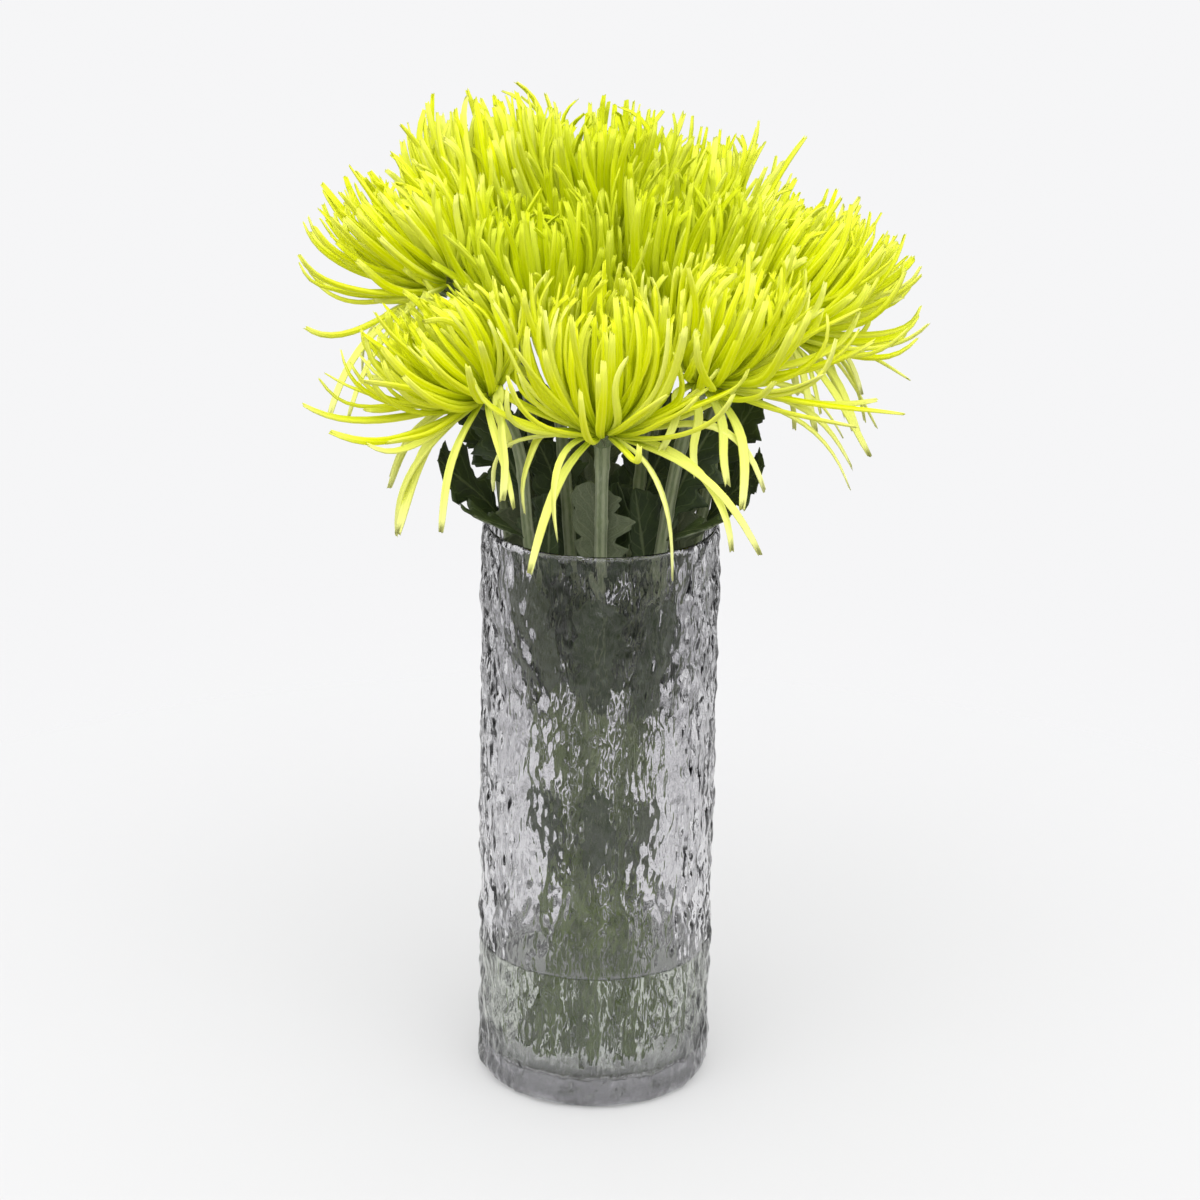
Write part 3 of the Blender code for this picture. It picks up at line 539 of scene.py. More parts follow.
# Leaves: dark green above, pale and matt below, cut into lobes with coarse teeth, soft, up to 80 mm long.
# They grow from the stems. Those that went into the vase are pressed up along the glass.
LEAF_STATIONS = 51
LEAF_ACROSS = 11
LEAF_TEETH = 13
LEAF_WIDTH = 0.34
TOOTH_DEPTH = 0.16
TEETH_FROM = 0.22         # no teeth on the stalk, up to this share of the length
SLIM = 0.62               # leaves that root lower than this stay slim
SLIM_BELOW = 0.150
LEAF_THICKNESS = 0.0007
MIDRIB = ((0.0, 0.12, 0.9, 1.0), (2.2, 1.0, 0.8, 0.3))  # share of the half width, how much thicker
LEAF_FOLD = 0.22
LEAF_CROWN = 0.20
LEAF_WAVE = 0.07
LEAF_ROOM = 0.0029
LEAF_SOFT_EDGE = 0.004
LEAF_SPREAD = 1.6
RIM_CLEARANCE = 0.0026
LEAF_REACH = 0.088
LEAF_EASE = 0.022         # and they are bent back over this distance
WALL_CLEARANCE = 0.0014
SHADED_BELOW = 0.250         # leaves that root lower, inside the vase, are dark on both faces: painted shade
LEAF_DARK = (0.013, 0.026, 0.008, 1.0)
LEAF_LIGHT = (0.034, 0.058, 0.017, 1.0)
LEAF_NET = (0.070, 0.100, 0.038, 1.0)
LEAF_FADED = (0.085, 0.115, 0.042, 1.0)
LEAF_VEIN = (0.120, 0.160, 0.070, 1.0)
LEAF_MIDRIB = (0.170, 0.205, 0.100, 1.0)
UNDER_DARK = (0.105, 0.130, 0.070, 1.0)
UNDER_LIGHT = (0.165, 0.190, 0.110, 1.0)
UNDER_VEIN = (0.230, 0.255, 0.160, 1.0)
# Outline: share of the length, of the half width, and how far the edge runs ahead of the midrib
LEAF_OUTLINE = np.array([
    (0.00, 0.07, 0.00), (0.17, 0.075, 0.00), (0.24, 0.20, 0.02), (0.34, 0.74, 0.06), (0.39, 0.70, 0.05),
    (0.45, 0.36, 0.03), (0.52, 0.70, 0.06), (0.58, 1.00, 0.08), (0.63, 0.90, 0.06), (0.69, 0.50, 0.03),
    (0.75, 0.60, 0.05), (0.81, 0.72, 0.06), (0.88, 0.48, 0.02), (0.94, 0.34, 0.00), (1.00, 0.03, 0.00),
])
# Owner, height of the root, compass, rise at root and tip in degrees, length, roll about the midrib
LEAVES = [
    (1, 0.316, 190, 76, 60, 0.064, -75), (1, 0.30, 205, 40, -2, 0.05, -20), (1, 0.262, 20, 84, 74, 0.064, 70),
    (0, 0.272, 250, 86, 66, 0.068, 0), (0, 0.262, 10, 84, 72, 0.072, 70), (2, 0.30, 345, 78, 58, 0.07, 75),
    (2, 0.30, 320, 36, 0, 0.05, 20), (2, 0.262, 170, 84, 76, 0.066, -70), (4, 0.292, 340, 66, 20, 0.066, 40),
    (4, 0.318, 20, 72, 34, 0.062, 40), (3, 0.29, 196, 66, 16, 0.07, -40), (3, 0.322, 160, 76, 46, 0.062, -40),
    (10, 0.29, 30, 66, 14, 0.07, 40), (10, 0.30, 100, 80, 60, 0.06, 0), (11, 0.292, 82, 64, 12, 0.07, 0),
    (11, 0.316, 118, 76, 46, 0.062, 0), (8, 0.292, 158, 66, 18, 0.07, -30), (8, 0.30, 100, 80, 60, 0.062, 0),
    (9, 0.296, 64, 74, 34, 0.066, 0), (9, 0.284, 110, 84, 70, 0.06, 0), (5, 0.256, 90, 86, 78, 0.07, 0),
    (5, 0.29, 180, 82, 64, 0.058, -75), (6, 0.262, 90, 86, 78, 0.07, 0), (6, 0.292, 0, 82, 64, 0.058, 75),
    (7, 0.258, 90, 86, 78, 0.07, 0), (7, 0.30, 270, 84, 74, 0.056, 0), (0, 0.198, -90, 66, 86, 0.08, 0),
    (1, 0.206, -136.5, 66, 86, 0.078, 0), (2, 0.192, -46.7, 66, 86, 0.08, 0),
    (3, 0.182, 177, 66, 86, 0.082, 0), (4, 0.176, -1.4, 66, 86, 0.08, 0), (8, 0.194, 129.4, 66, 86, 0.08, 0),
    (9, 0.188, 64.1, 66, 86, 0.08, 0), (10, 0.21, 33.3, 66, 86, 0.074, 0),
    (11, 0.206, 96.1, 66, 86, 0.078, 0), (5, 0.206, -145.3, 66, 86, 0.07, 0),
    (6, 0.192, -16, 66, 86, 0.07, 0), (7, 0.202, 96.7, 66, 86, 0.07, 0), (0, 0.10, -90, 66, 86, 0.07, 0),
    (2, 0.092, -46.7, 66, 86, 0.072, 0), (1, 0.104, -136.5, 66, 86, 0.068, 0),
    (8, 0.268, 215, 84, 66, 0.068, -75), (3, 0.262, 300, 84, 70, 0.068, 0),
    (9, 0.262, 330, 84, 68, 0.068, 75), (4, 0.262, 240, 84, 70, 0.066, 0), (7, 0.27, 240, 84, 72, 0.066, -40),
]
# Room between neighbouring flowers: half width that each holds at a height above its calyx
GIRTH = np.array([(-0.300, 0.006), (-0.006, 0.007), (0.028, 0.036), (0.064, 0.040), (0.090, 0.012),
                  (0.300, 0.006)])
AXIS_REACH = 0.200        # how far a flower's spine goes on above its calyx
spines = [np.vstack([route, flower[:3], np.array(flower[:3]) + head_axis(flower) * AXIS_REACH])
          for flower, route in zip(FLOWERS, routes)]


def spine_at(owner, heights):
    spine = spines[owner]
    return np.stack([np.interp(heights, spine[:, 2], spine[:, axis]) for axis in (0, 1)], axis=-1)


def girth_at(owner, heights):
    return np.interp(heights - FLOWERS[owner][2], GIRTH[:, 0], GIRTH[:, 1])


def keep_in_room(points, owner, margin, soft):
    """Moves points sideways so that they stay on their own flower's side of every neighbour"""
    points = points.copy()
    heights = points[..., 2]
    home = spine_at(owner, heights)
    mine = girth_at(owner, heights)
    for other in range(len(FLOWERS)):
        if other == owner:
            continue
        between = spine_at(other, heights) - home
        apart = np.linalg.norm(between, axis=-1)
        between /= apart[..., None]
        limit = apart * mine / (mine + girth_at(other, heights)) - margin
        reach = ((points[..., :2] - home) * between).sum(axis=-1)
        edge = limit - soft
        eased = edge + soft * (1.0 - np.exp(np.minimum(0.0, edge - reach) / soft))
        points[..., :2] -= between * np.maximum(0.0, reach - np.where(reach > edge, eased, reach))[..., None]
    return points


def keep_leaf(points, owner):
    """Keeps a leaf inside the bore, within the leaves' reach, and off the neighbours"""
    points = keep_in_room(points, owner, LEAF_ROOM, LEAF_SOFT_EDGE)
    radius = np.linalg.norm(points[..., :2], axis=-1)
    over = np.maximum(0.0, radius - LEAF_REACH + LEAF_EASE)
    eased = radius - over + LEAF_EASE * (1.0 - np.exp(-over / LEAF_EASE))
    above = np.maximum(0.0, points[..., 2] - VASE_HEIGHT - RIM_CLEARANCE)
    limit = np.minimum(VASE_BORE - WALL_CLEARANCE + above * LEAF_SPREAD, eased)
    points[..., :2] *= np.minimum(1.0, limit / radius)[..., None]
    return points


leaf_green, leaf_shader, leaf = start_finish("leaf_green", Specular_IOR_Level=0.4)
grain = kept_values(leaf, "grain")
tone = kept_values(leaf, "tone")
random_tone = part_of(tone, 0)
under = part_of(tone, 1)
off_midrib = leaf.work("ABSOLUTE", part_of(grain, 0))
branch = leaf.work("PINGPONG", part_of(grain, 1) * 8.0 - off_midrib * 1.9 + 0.15, 0.5)
veins = 1.0 - step_between(branch, 0.02, 0.11)
midrib = 1.0 - step_between(off_midrib, 0.015, 0.075)
net = grainy(leaf, grain * (6.0, 14.0, 1.0), 5.0, detail=4.0)
cells = grainy(leaf, grain * (1.2, 3.0, 1.0), 2.0)
upper = mixed(step_between(cells, 0.3, 0.7), LEAF_DARK, LEAF_LIGHT)
upper = mixed(step_between(net, 0.4, 0.7) * 0.30, upper, LEAF_NET)
upper = mixed(random_tone * 0.35, upper, LEAF_FADED)
upper = mixed(veins * 0.35, upper, LEAF_VEIN)
upper = mixed(midrib * 0.65, upper, LEAF_MIDRIB)
lower = mixed(step_between(net, 0.3, 0.7), UNDER_DARK, UNDER_LIGHT)
lower = mixed(veins * 0.5 + midrib * 0.4, lower, UNDER_VEIN)
leaf.join(leaf_shader.inputs["Base Color"], mixed(under, upper, lower))
leaf.join(leaf_shader.inputs["Roughness"], 0.42 + 0.25 * under + 0.12 * net)
add_bump(leaf, leaf_shader, net * 0.35 - veins * 0.5 - midrib * 0.8, strength=0.55, distance=0.0006)

leaf_sets = [[] for _ in FLOWERS]
share = np.linspace(0, 1, LEAF_STATIONS)
across_share = np.linspace(-1, 1, LEAF_ACROSS)
off_middle = np.abs(across_share)
outline_width, outline_ahead = (np.interp(share, LEAF_OUTLINE[:, 0], column) for column in LEAF_OUTLINE.T[1:])
for spot, (owner, root, compass, rise_root, rise_tip, reach, roll) in enumerate(LEAVES):
    draw = random.Random(300 + spot)
    compass, roll = math.radians(compass), math.radians(roll)
    way = np.array([math.cos(compass), math.sin(compass), 0.0])
    level = np.array([-way[1], way[0], 0.0])
    rise = np.radians(rise_root + (rise_tip - rise_root) * share)
    run = way * np.cos(rise)[:, None] + np.array([0, 0, 1.0]) * np.sin(rise)[:, None]
    steps = np.concatenate([[0.0], np.diff(share)])[:, None] * reach
    middle = np.append(spine_at(owner, np.array(root)), root) + np.cumsum(run * steps, axis=0)
    across = level * math.cos(roll) + np.cross(run, level) * math.sin(roll)
    lift = np.cross(run, across)
    halves = []
    for _ in range(2):
        tooth = (share * LEAF_TEETH + draw.uniform(0, 1)) % 1.0
        halves.append(outline_width * (1.0 - TOOTH_DEPTH * (1 - tooth)**1.5 * (share > TEETH_FROM)))
    half = np.where(across_share[None, :] < 0, halves[0][:, None], halves[1][:, None]) * LEAF_WIDTH * reach
    half = half * (SLIM if root < SLIM_BELOW else 1.0)
    ahead = outline_ahead[:, None] * off_middle[None, :]**1.5
    wave = LEAF_WAVE * np.sin(share * 21 + draw.uniform(0, 6))[:, None] * off_middle**2
    cup = (LEAF_FOLD * off_middle - LEAF_CROWN * across_share**2 + wave) * half
    sheet = (middle[:, None, :] + run[:, None, :] * (ahead * reach)[..., None]
             + across[:, None, :] * (across_share[None, :] * half)[..., None]
             + lift[:, None, :] * cup[..., None])
    hold = np.clip((share - 0.04) / 0.12, 0, 1)[:, None, None]
    sheet = sheet * (1 - hold) + keep_leaf(sheet, owner) * hold
    grains = spread(half.shape, across_share, share[:, None], spot * 1.7)
    # Leaves inside the vase lose most of their pale underside colour, as painted shade
    paleness = 0.10 + 0.55 * (spot * 7 % 5) / 4 if root < SHADED_BELOW else 1.0
    leaf_sets[owner].append((sheet, grains, draw.random(), paleness))

row = np.arange(LEAF_STATIONS - 1)[:, None] * LEAF_ACROSS
corner = row + np.arange(LEAF_ACROSS - 1)[None, :]
leaf_quads = np.stack([corner, corner + 1, corner + LEAF_ACROSS + 1, corner + LEAF_ACROSS],
                      axis=-1).reshape(-1, 4)
each = LEAF_STATIONS * LEAF_ACROSS
grid = np.arange(each).reshape(LEAF_STATIONS, LEAF_ACROSS)
rim = np.concatenate([grid[0], grid[1:, -1], grid[-1, -2::-1], grid[-2:0:-1, 0]])
after = np.roll(rim, -1)
for number, leaves in enumerate(leaf_sets):
    points, faces, grain_rows, tones = [], [], [], []
    for sheet, grains, shade, paleness in leaves:
        normal = unit(np.cross(np.gradient(sheet, axis=0), np.gradient(sheet, axis=1)))
        thick = LEAF_THICKNESS / 2 * np.interp(np.abs(grains[..., :1]), *MIDRIB)
        low = len(points) * each
        high = low + each
        faces += (leaf_quads[:, ::-1] + low).tolist() + (leaf_quads + high).tolist()
        faces += np.stack([low + rim, low + after, high + after, high + rim], axis=-1).tolist()
        for under, offset in ((0.0, 1.0), (1.0, -1.0)):
            points.append((sheet + normal * thick * offset).reshape(-1, 3))
            grain_rows.append(grains.reshape(-1, 3))
            tones.append(np.tile((shade, under * paleness, 0.0), (each, 1)))
    if points:
        stem_name = "stem_%02d" % (number + 1)
        piece = add_piece(stem_name + "_leaves", np.vstack(points), faces, leaf_green, "stem_green",
                          stem_name)
        keep_values(piece, "grain", np.vstack(grain_rows))
        keep_values(piece, "tone", np.vstack(tones))

# Heads: some two hundred quilled ray petals each, narrow fleshy tubes of chartreuse, in a golden-angle spiral
# on the cup: short ones in the middle, then some that close over it, then open ones, then hanging ones.
PETAL_COUNT = 226
PETAL_STATIONS = 14
PETAL_SIDES = 8
# Share from the middle outwards, length, angle off the head's axis at root, middle and tip, width
PETAL_LAW = np.array([
    (0.00, 0.018, 8, 4, -4, 0.0022), (0.08, 0.034, 16, 6, -16, 0.0026), (0.18, 0.047, 26, 8, -22, 0.0032),
    (0.38, 0.067, 39, 13, -20, 0.0036), (0.60, 0.078, 49, 19, -10, 0.0041), (0.80, 0.083, 59, 31, 4, 0.0045),
    (0.92, 0.084, 71, 49, 26, 0.0046), (1.00, 0.084, 82, 68, 52, 0.0045),
])
TURN_SPREAD = 0.05        # how much a petal strays from its place in the spiral
ANGLE_SPREADS = (5, 12, 23)  # how much its angles at root, middle and tip stray, in degrees
LENGTH_SPREAD = (0.09, 0.76, 1.13)  # how much its length strays, and within what
LONG_SHARE = 0.20         # share of petals that stand out
LONG = 1.06
SHORT = 0.95
OPEN_FROM = 0.87          # from this share outwards some are longer still
OPEN_SHARE = 0.40
OPEN_LONGER = 1.16
LEANING = 20              # heads that lean more have shorter petals on their inner side
INNER_SHORTER = 0.24
HOOKS = ((-8, 16), (-26, 22), (-16, 24))  # in degrees: inner, outer and hanging petals
HOOK_OUTSIDE = 0.62       # outwards from this share they hook as outer ones
HOOK_FROM = 0.72          # share of a petal's length where its hook begins
SIDEWAYS = (0.10, 0.62)   # how far they bend sideways at root and tip, in radians
TWIST = (0.25, 0.5)       # and how they are twisted
WIDTH_SPREAD = 0.08
# Hanging petals of the outer heads
HANGING = 8
INNER_FLOWERS = (5, 6, 7)
HANG_SHARE = 1.05
HANG_SPREAD = 76
HANG_LENGTH = (0.070, 0.090)
HANG_LONGER = (0.013, 0.010, 0.006) + (0.0,) * 9
HANG_ANGLES = (80.0, 84.0, 96.0)
HANG_WIDTH = (0.0047, 0.0058)
HANG_FLAT = 0.7
HANG_PULL = 2.1           # how strongly their weight turns them down
# Size and greenness of each head: the young ones in the middle are smaller and greener
HEAD_SIZES = (1.00, 0.84, 0.98, 0.92, 0.95, 0.92, 0.94, 0.95, 0.97, 0.98, 0.98, 0.93)
HEAD_GREEN = (0.0, 0.05, 0.0, 0.05, 0.25, 1.00, 0.95, 0.80, 0.30, 0.55, 0.25, 0.50)
RECEPTACLE = 0.0078       # the petals' seat: radius, crown, and how deep they sit in it
RECEPTACLE_CROWN = 0.0055
ROOT_DEPTH = 0.001
PETAL_MARGIN = 0.0030     # from the border with a neighbour, and more of it for the closed petals
CLOSED_MARGIN = 0.0018
CLOSED_TO = 0.80
CROSSING_SHARE = 0.4      # share of petals that come nearer, and how much at most
CROSSING = 0.014
OUTER_FROM = 0.84         # from this share outwards they may reach over a neighbour
OVER_NEIGHBOUR = (0.052,) + (0.026,) * 11
SOFT_EDGE = 0.014
ROOT_EASE = 0.15          # share of their length held in the cup
VALLEY = 0.22             # how much shorter petals stay where a neighbour presses them
PRESSED = 0.03            # by this distance or more
SKIRT_RADIUS = 0.094      # petals that hang below it stay outside the leaves
SKIRT_DROP = 0.040
BOX_MARGIN = 0.004        # petals stay this far inside the solids' box
BOX_SOFT = 0.010          # and are eased back over this distance
SMOOTHINGS = 3
PETAL_WIDTHS = ((0, 0.18, 0.5, 0.80, 0.95, 1.0), (0.52, 0.80, 1.00, 0.83, 0.68, 0.54))
PETAL_THICKNESS = ((0, 0.3, 0.9, 1.0), (0.8, 0.56, 0.44, 0.36))
NOTCH = 0.0007
TIP_SINK = 0.0016
# Greener and darker at the root: partly the petals' own greener base, partly painted shade deep in the head
PETAL_ROOT_AND_SHADE = (0.320, 0.415, 0.001, 1.0)
PETAL_BODY = (0.850, 0.890, 0.001, 1.0)
PETAL_STREAK = (0.710, 0.840, 0.001, 1.0)
# Painted highlight along the ridges of the petals' ribs
PETAL_RIB_HIGHLIGHT = (0.960, 0.970, 0.060, 1.0)
PETAL_YOUNG = (0.370, 0.480, 0.001, 1.0)
PETAL_UNRIPE = (0.440, 0.550, 0.001, 1.0)
PETAL_DEEP = (0.500, 0.620, 0.001, 1.0)
# Pale colour of the tips and of some petals, also used for a painted highlight along the petals' edges
PETAL_PALE_AND_HIGHLIGHT = (0.960, 0.970, 0.400, 1.0)
# Painted glow: the petals give off a little light of their own, which lifts their shade as light passing
# through them would
PETAL_PAINTED_GLOW = (0.60, 0.72, 0.0, 1.0)
petal_section = round_section(PETAL_SIDES)
petal_section[2, 1] = 0.35  # a groove runs along the upper side
petal_section[[1, 3], 1] = 0.95
petal_section[[5, 7], 1] = -0.85

# The petals' emission is a painted glow, not a lamp
petal_green, petal_shader, petal = start_finish("petal_green", Specular_IOR_Level=0.10,
                                                Emission_Color=PETAL_PAINTED_GLOW, Emission_Strength=0.035)
grain = kept_values(petal, "grain")
tone = kept_values(petal, "tone")
across_petal = part_of(grain, 0)
length = part_of(grain, 2)
random_tone = part_of(tone, 0)
outwards = part_of(tone, 1)
head_green = part_of(tone, 2)
edge = petal.work("ABSOLUTE", across_petal)
ribs = petal.work("SINE", across_petal * 7.5 + 1.4)
streaks = grainy(petal, (grain + tone * (17.0, 0.0, 0.0)) * (2.6, 2.6, 1.1), 3.2, detail=4.0)
young = 1.0 - step_between(outwards, 0.08, 0.42)
# Towards the root the petals turn a darker green, partly their own colour and partly painted shade between
# them
body = mixed(step_between(length, 0.02, 0.50), PETAL_ROOT_AND_SHADE, PETAL_BODY)
body = mixed(step_between(streaks, 0.42, 0.68) * 0.35, body, PETAL_STREAK)
# The pale stripes on the ribs are a painted highlight; the ribs in the bump below are relief
body = mixed(step_between(ribs, 0.0, 0.95) * 0.48, body, PETAL_RIB_HIGHLIGHT)
body = mixed(young * 0.60, body, PETAL_YOUNG)
body = mixed(head_green * 0.44, body, PETAL_UNRIPE)
body = mixed(step_between(random_tone, 0.50, 1.0) * 0.17, body, PETAL_DEEP)
# Paler towards the tips, on the hanging petals and on about a quarter of the petals at random, as their own
# colour; paler along the edges as a painted highlight
pale_and_highlight = step_between(length, 0.70, 1.0) * (0.03 + 0.28 * step_between(outwards, 0.45, 0.90))
pale_and_highlight = pale_and_highlight + step_between(edge, 0.75, 1.0) * 0.08 + (1.0 - step_between(random_tone, 0.0, 0.28)) * 0.30
pale_and_highlight = pale_and_highlight + step_between(outwards, 0.96, 1.02) * step_between(length, 0.02, 0.45) * 0.50
body = mixed(pale_and_highlight * (1.0 - head_green * 0.7), body, PETAL_PALE_AND_HIGHLIGHT)
petal.join(petal_shader.inputs["Base Color"], body)
petal.join(petal_shader.inputs["Roughness"], 0.40 + 0.2 * streaks)
add_bump(petal, petal_shader, streaks * 0.6 + ribs * 0.35, strength=0.32, distance=0.0006)

golden = math.pi * (3 - math.sqrt(5))
along = np.linspace(0, 1, PETAL_STATIONS)
half_way = (along[1:] + along[:-1]) / 2


def petal_spiral(number, outer_turn, draws):
    """A head's petals from the middle outwards: share of the way, turn about the axis, and law"""
    shares = (np.arange(PETAL_COUNT) + 0.5) / PETAL_COUNT
    law = np.stack([np.interp(shares, PETAL_LAW[:, 0], column) for column in PETAL_LAW.T[1:]], axis=-1)
    turns = np.arange(PETAL_COUNT) * golden + draws.normal(0, TURN_SPREAD, PETAL_COUNT)
    if number in INNER_FLOWERS:
        return shares, turns, law
    fan = np.linspace(-1, 1, HANGING)
    fan = np.sign(fan) * np.abs(fan)**0.6 + draws.normal(0, TURN_SPREAD, HANGING)
    lengths = draws.uniform(*HANG_LENGTH, HANGING) + HANG_LONGER[number]
    widths = draws.uniform(*HANG_WIDTH, HANGING)
    hanging = np.column_stack([lengths, np.tile(HANG_ANGLES, (HANGING, 1)), widths])
    return (np.concatenate([shares, np.full(HANGING, HANG_SHARE)]),
            np.concatenate([turns, outer_turn + np.radians(HANG_SPREAD) * fan]), np.vstack([law, hanging]))


def petal_lengths(number, shares, from_outside, law, draws):
    """No two are the same, and those on a leaning head's inner side stay short"""
    count = len(shares)
    usual, least, most = LENGTH_SPREAD
    lengths = law[:, 0] * HEAD_SIZES[number] * draws.normal(1.0, usual, count).clip(least, most)
    lengths *= np.where(draws.random(count) < LONG_SHARE, LONG, SHORT)
    lengths *= np.where((shares > OPEN_FROM) & (draws.random(count) < OPEN_SHARE), OPEN_LONGER, 1.0)
    if FLOWERS[number][3] > LEANING:
        lengths *= 1.0 - INNER_SHORTER * (0.5 - 0.5 * np.cos(from_outside))
    return lengths


def petal_ways(axis, side, other, shares, turns, law, draws):
    """Directions of each petal's stretches: out of the cup, round to its hooked tip, and down if it hangs"""
    count = len(shares)
    hangs = shares > 1.0
    root, middle, tip = (law[:, place] + draws.normal(0, stray, count)
                         for place, stray in enumerate(ANGLE_SPREADS, start=1))
    inner, outer, hung = (draws.normal(*hook, count) for hook in HOOKS)
    hook = np.where(hangs, hung, np.where(shares < HOOK_OUTSIDE, inner, outer))
    angles = np.where(half_way[None] < 0.5, root[:, None] + (middle - root)[:, None] * half_way * 2,
                      middle[:, None] + (tip - middle)[:, None] * (half_way * 2 - 1))
    hooked = np.clip((half_way - HOOK_FROM) / (1 - HOOK_FROM), 0, 1)**1.5
    angles = np.radians(angles + hook[:, None] * hooked)
    at_root, at_tip = (draws.normal(0, stray, count)[:, None] for stray in SIDEWAYS)
    bearing = turns[:, None] + (at_root + at_tip * half_way**1.6)
    out = side * np.cos(bearing)[..., None] + other * np.sin(bearing)[..., None]
    ways = axis * np.cos(angles)[..., None] + out * np.sin(angles)[..., None]
    pull = np.where(hangs[:, None], HANG_PULL * half_way**2.1, 0.0)
    return unit(ways + np.array([0, 0, -1.0]) * pull[..., None])


def petal_margins(number, shares, draws):
    """How far petals stay from the border with a neighbour. Some cross it, and outer ones reach over"""
    count = len(shares)
    margin = PETAL_MARGIN + np.where(shares < CLOSED_TO, CLOSED_MARGIN, 0.0)
    margin -= np.where(draws.random(count) < CROSSING_SHARE, draws.uniform(0, CROSSING, count), 0.0)
    margin -= np.where(shares > OUTER_FROM, draws.uniform(0, OVER_NEIGHBOUR[number], count), 0.0)
    return margin[:, None]


def press(paths, number, margins):
    """Petals give way to the neighbours, and stay shorter where they are pressed"""
    roots = paths[:, :1]
    kept = keep_in_room(paths, number, margins, SOFT_EDGE)
    pressed = np.linalg.norm(kept[:, -1] - paths[:, -1], axis=-1)
    ease = np.clip(along / ROOT_EASE, 0, 1)[None, :, None]
    paths = paths * (1 - ease) + kept * ease
    valley = 1.0 - VALLEY * np.clip(pressed / PRESSED, 0, 1)
    return roots + (paths - roots) * valley[:, None, None]


def tame(paths, head_height):
    """Keeps petals that hang outside the leaves, and all of them inside the solids' box, without kinks"""
    below = np.clip((head_height - paths[..., 2]) / SKIRT_DROP, 0, 1)
    radius = np.linalg.norm(paths[..., :2], axis=-1)
    paths[..., :2] *= np.maximum(1.0, SKIRT_RADIUS * below / radius)[..., None]
    for corner, sign in zip(solid_box, (-1.0, 1.0)):
        over = np.maximum(0.0, sign * paths - (sign * np.array(corner) - BOX_MARGIN - BOX_SOFT))
        paths = paths - sign * (over - BOX_SOFT * (1.0 - np.exp(-over / BOX_SOFT)))
    for _ in range(SMOOTHINGS):
        paths[:, 2:-1] = (paths[:, 1:-2] + 2 * paths[:, 2:-1] + paths[:, 3:]) / 4
    return paths


for number, flower in enumerate(FLOWERS):
    draws = np.random.default_rng(400 + number)
    axis = head_axis(flower)
    base = np.array(flower[:3]) + axis * GAP
    side = unit(np.cross(axis, (0.31, 0.88, 0.12)))
    other = np.cross(axis, side)
    away = np.array([flower[0], flower[1], 0.0])
    away -= axis * (away @ axis)
    outer_turn = math.atan2(away @ other, away @ side)
    shares, turns, law = petal_spiral(number, outer_turn, draws)
    count = len(shares)
    lengths = petal_lengths(number, shares, turns - outer_turn, law, draws)
    ways = petal_ways(axis, side, other, shares, turns, law, draws)
    out = side * np.cos(turns)[:, None] + other * np.sin(turns)[:, None]
    seat = np.minimum(shares, 1.0)
    roots = (base + out * (RECEPTACLE * np.sqrt(seat))[:, None]
             + axis * (RECEPTACLE_CROWN * (1 - seat**2) - ROOT_DEPTH)[:, None])
    steps = ways * (lengths / (PETAL_STATIONS - 1))[:, None, None]
    paths = np.concatenate([roots[:, None], roots[:, None] + np.cumsum(steps, axis=1)], axis=1)
    paths = tame(press(paths, number, petal_margins(number, shares, draws)), flower[2])
    at_root, at_tip = (draws.normal(0, stray, count)[:, None] for stray in TWIST)
    twist = at_root + at_tip * along
    ahead, across, up = along_frames(paths, np.cross(axis, out)[:, None, :])
    across = across * np.cos(twist)[..., None] + up * np.sin(twist)[..., None]
    width = (law[:, 4] * draws.normal(1.0, WIDTH_SPREAD, count))[:, None] * np.interp(along, *PETAL_WIDTHS)
    thick = width * np.interp(along, *PETAL_THICKNESS)
    thick = thick * np.where(shares > 1.0, HANG_FLAT, 1.0)[:, None]
    tubes = quills(paths, across, width, thick, petal_section)
    notches = draws.normal(0, NOTCH, (count, PETAL_SIDES))
    tubes[:, -1] += ahead[:, -1, None, :] * notches[..., None]
    points, faces = quill_mesh(tubes, TIP_SINK)
    bloom_name = "bloom_%02d" % (number + 1)
    piece = add_piece(bloom_name + "_petals", points, faces, petal_green, "petal_green", bloom_name)
    grains = spread(tubes.shape[:3], petal_section[:, 0], petal_section[:, 1], along[None, :, None])
    tones = spread(shares.shape, draws.random(count), shares, HEAD_GREEN[number])
    keep_values(piece, "grain", np.vstack([grains.reshape(-1, 3), np.tile((0.0, 0.0, 1.0), (count, 1))]))
    keep_values(piece, "tone", np.vstack([np.repeat(tones, PETAL_STATIONS * PETAL_SIDES, axis=0), tones]))

# Studio: a pale sweep to stand on, soft light from all round and above with dark gaps low down that draw the
# glass, and a camera a step away, looking down by 19 degrees.
FLOOR_REACH = 1.0
FLOOR_FADE = (0.28, 0.85)  # the sweep fades into the backdrop between these distances
PAPER = (0.45, 0.45, 0.452, 1.0)
BACKDROP = 0.92
BAR_COUNT = 13.0
BAR_SLANT = 5.0
BAR_DARKNESS = 0.92
ROOM_LIGHT = 0.785
TOP_LIGHT = 0.35
FRONT_LIGHT = 2.10        # from above the camera
FRONT_SHADE = 0.50        # and less of it from below
CAMERA_PLACE = (0.0, -1.591, 0.803)
CAMERA_TILT = 18.9
CAMERA_ROLL = 0.9
CAMERA_LENS = 99.27

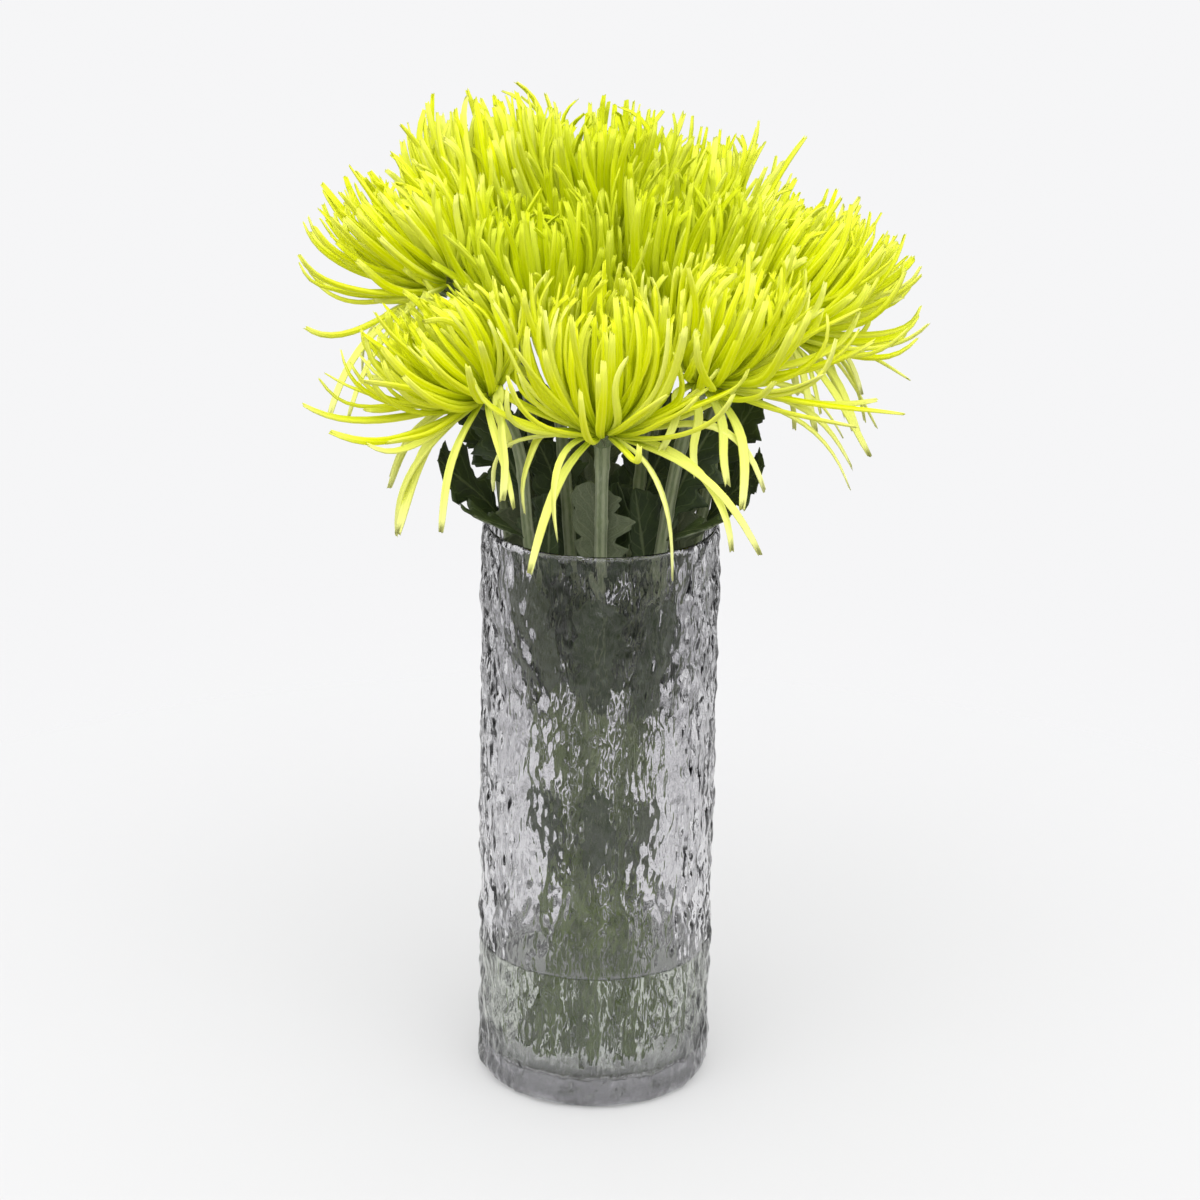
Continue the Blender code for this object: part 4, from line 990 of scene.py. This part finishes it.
floor_mesh = bpy.data.meshes.new("studio_floor")
corners = [(FLOOR_REACH * x, FLOOR_REACH * y, 0) for x, y in ((-1, -1), (1, -1), (1, 1), (-1, 1))]
floor_mesh.from_pydata(corners, [], [(0, 1, 2, 3)])
sweep_paper, sweep_shader, sweep = start_finish("sweep_paper", Base_Color=PAPER, Roughness=0.9,
                                                Specular_IOR_Level=0.1, Emission_Color=(1.0, 1.0, 1.0, 1.0),
                                                Emission_Strength=0.265)
place = sweep.node("ShaderNodeTexCoord", {}, {}, output="Object")
distance = sweep.node("ShaderNodeVectorMath", {"operation": "LENGTH"}, {0: place}, output="Value")
sweep.join(sweep_shader.inputs["Alpha"], 1.0 - step_between(distance, *FLOOR_FADE))
floor_mesh.materials.append(sweep_paper)
floor = add_object("studio_floor", floor_mesh)

world = bpy.data.worlds.new("studio")
bpy.context.scene.world = world
world.use_nodes = True
sky = Wire(world.node_tree)
direction = sky.node("ShaderNodeTexCoord", {}, {}, output="Generated")
east, north, rise = (part_of(direction, number) for number in range(3))
compass = sky.work("ARCTAN2", north, east)
bars = sky.work("SINE", compass * BAR_COUNT + rise * BAR_SLANT)
low_down = 1.0 - step_between(rise, 0.25, 0.50)
dark = step_between(bars, -0.1, 0.4) * low_down * BAR_DARKNESS
dome = ROOM_LIGHT + TOP_LIGHT * step_between(rise, 0.05, 0.75)
front = step_between(north, 0.1, -0.8)
high = step_between(rise, 0.15, 0.60)
low = 1.0 - step_between(rise, 0.0, 0.45)
level = dome * (1.0 - dark) * (1.0 + front * (FRONT_LIGHT * high - FRONT_SHADE * low))
seen = sky.node("ShaderNodeLightPath", {}, {}, output="Is Camera Ray")
shown = seen * BACKDROP + (1.0 - seen) * level
background = world.node_tree.nodes["Background"]
lit = sky.node("ShaderNodeCombineXYZ", {}, {0: shown, 1: shown, 2: shown * 1.01})
sky.join(background.inputs["Color"], lit)
background.inputs["Strength"].default_value = 1.0

camera_data = bpy.data.cameras.new("camera")
camera_data.lens = CAMERA_LENS
camera_data.sensor_width = 36.0
camera_data.clip_end = 100.0
camera = add_object("camera", camera_data)
tilt = Matrix.Rotation(math.radians(90 - CAMERA_TILT), 3, "X")
camera.rotation_euler = (tilt @ Matrix.Rotation(math.radians(CAMERA_ROLL), 3, "Z")).to_euler()
camera.location = CAMERA_PLACE
scene = bpy.context.scene
scene.camera = camera
scene.view_settings.view_transform = "Standard"
scene.cycles.max_bounces = 10
scene.cycles.transmission_bounces = 10
scene.cycles.diffuse_bounces = 3
scene.cycles.glossy_bounces = 3
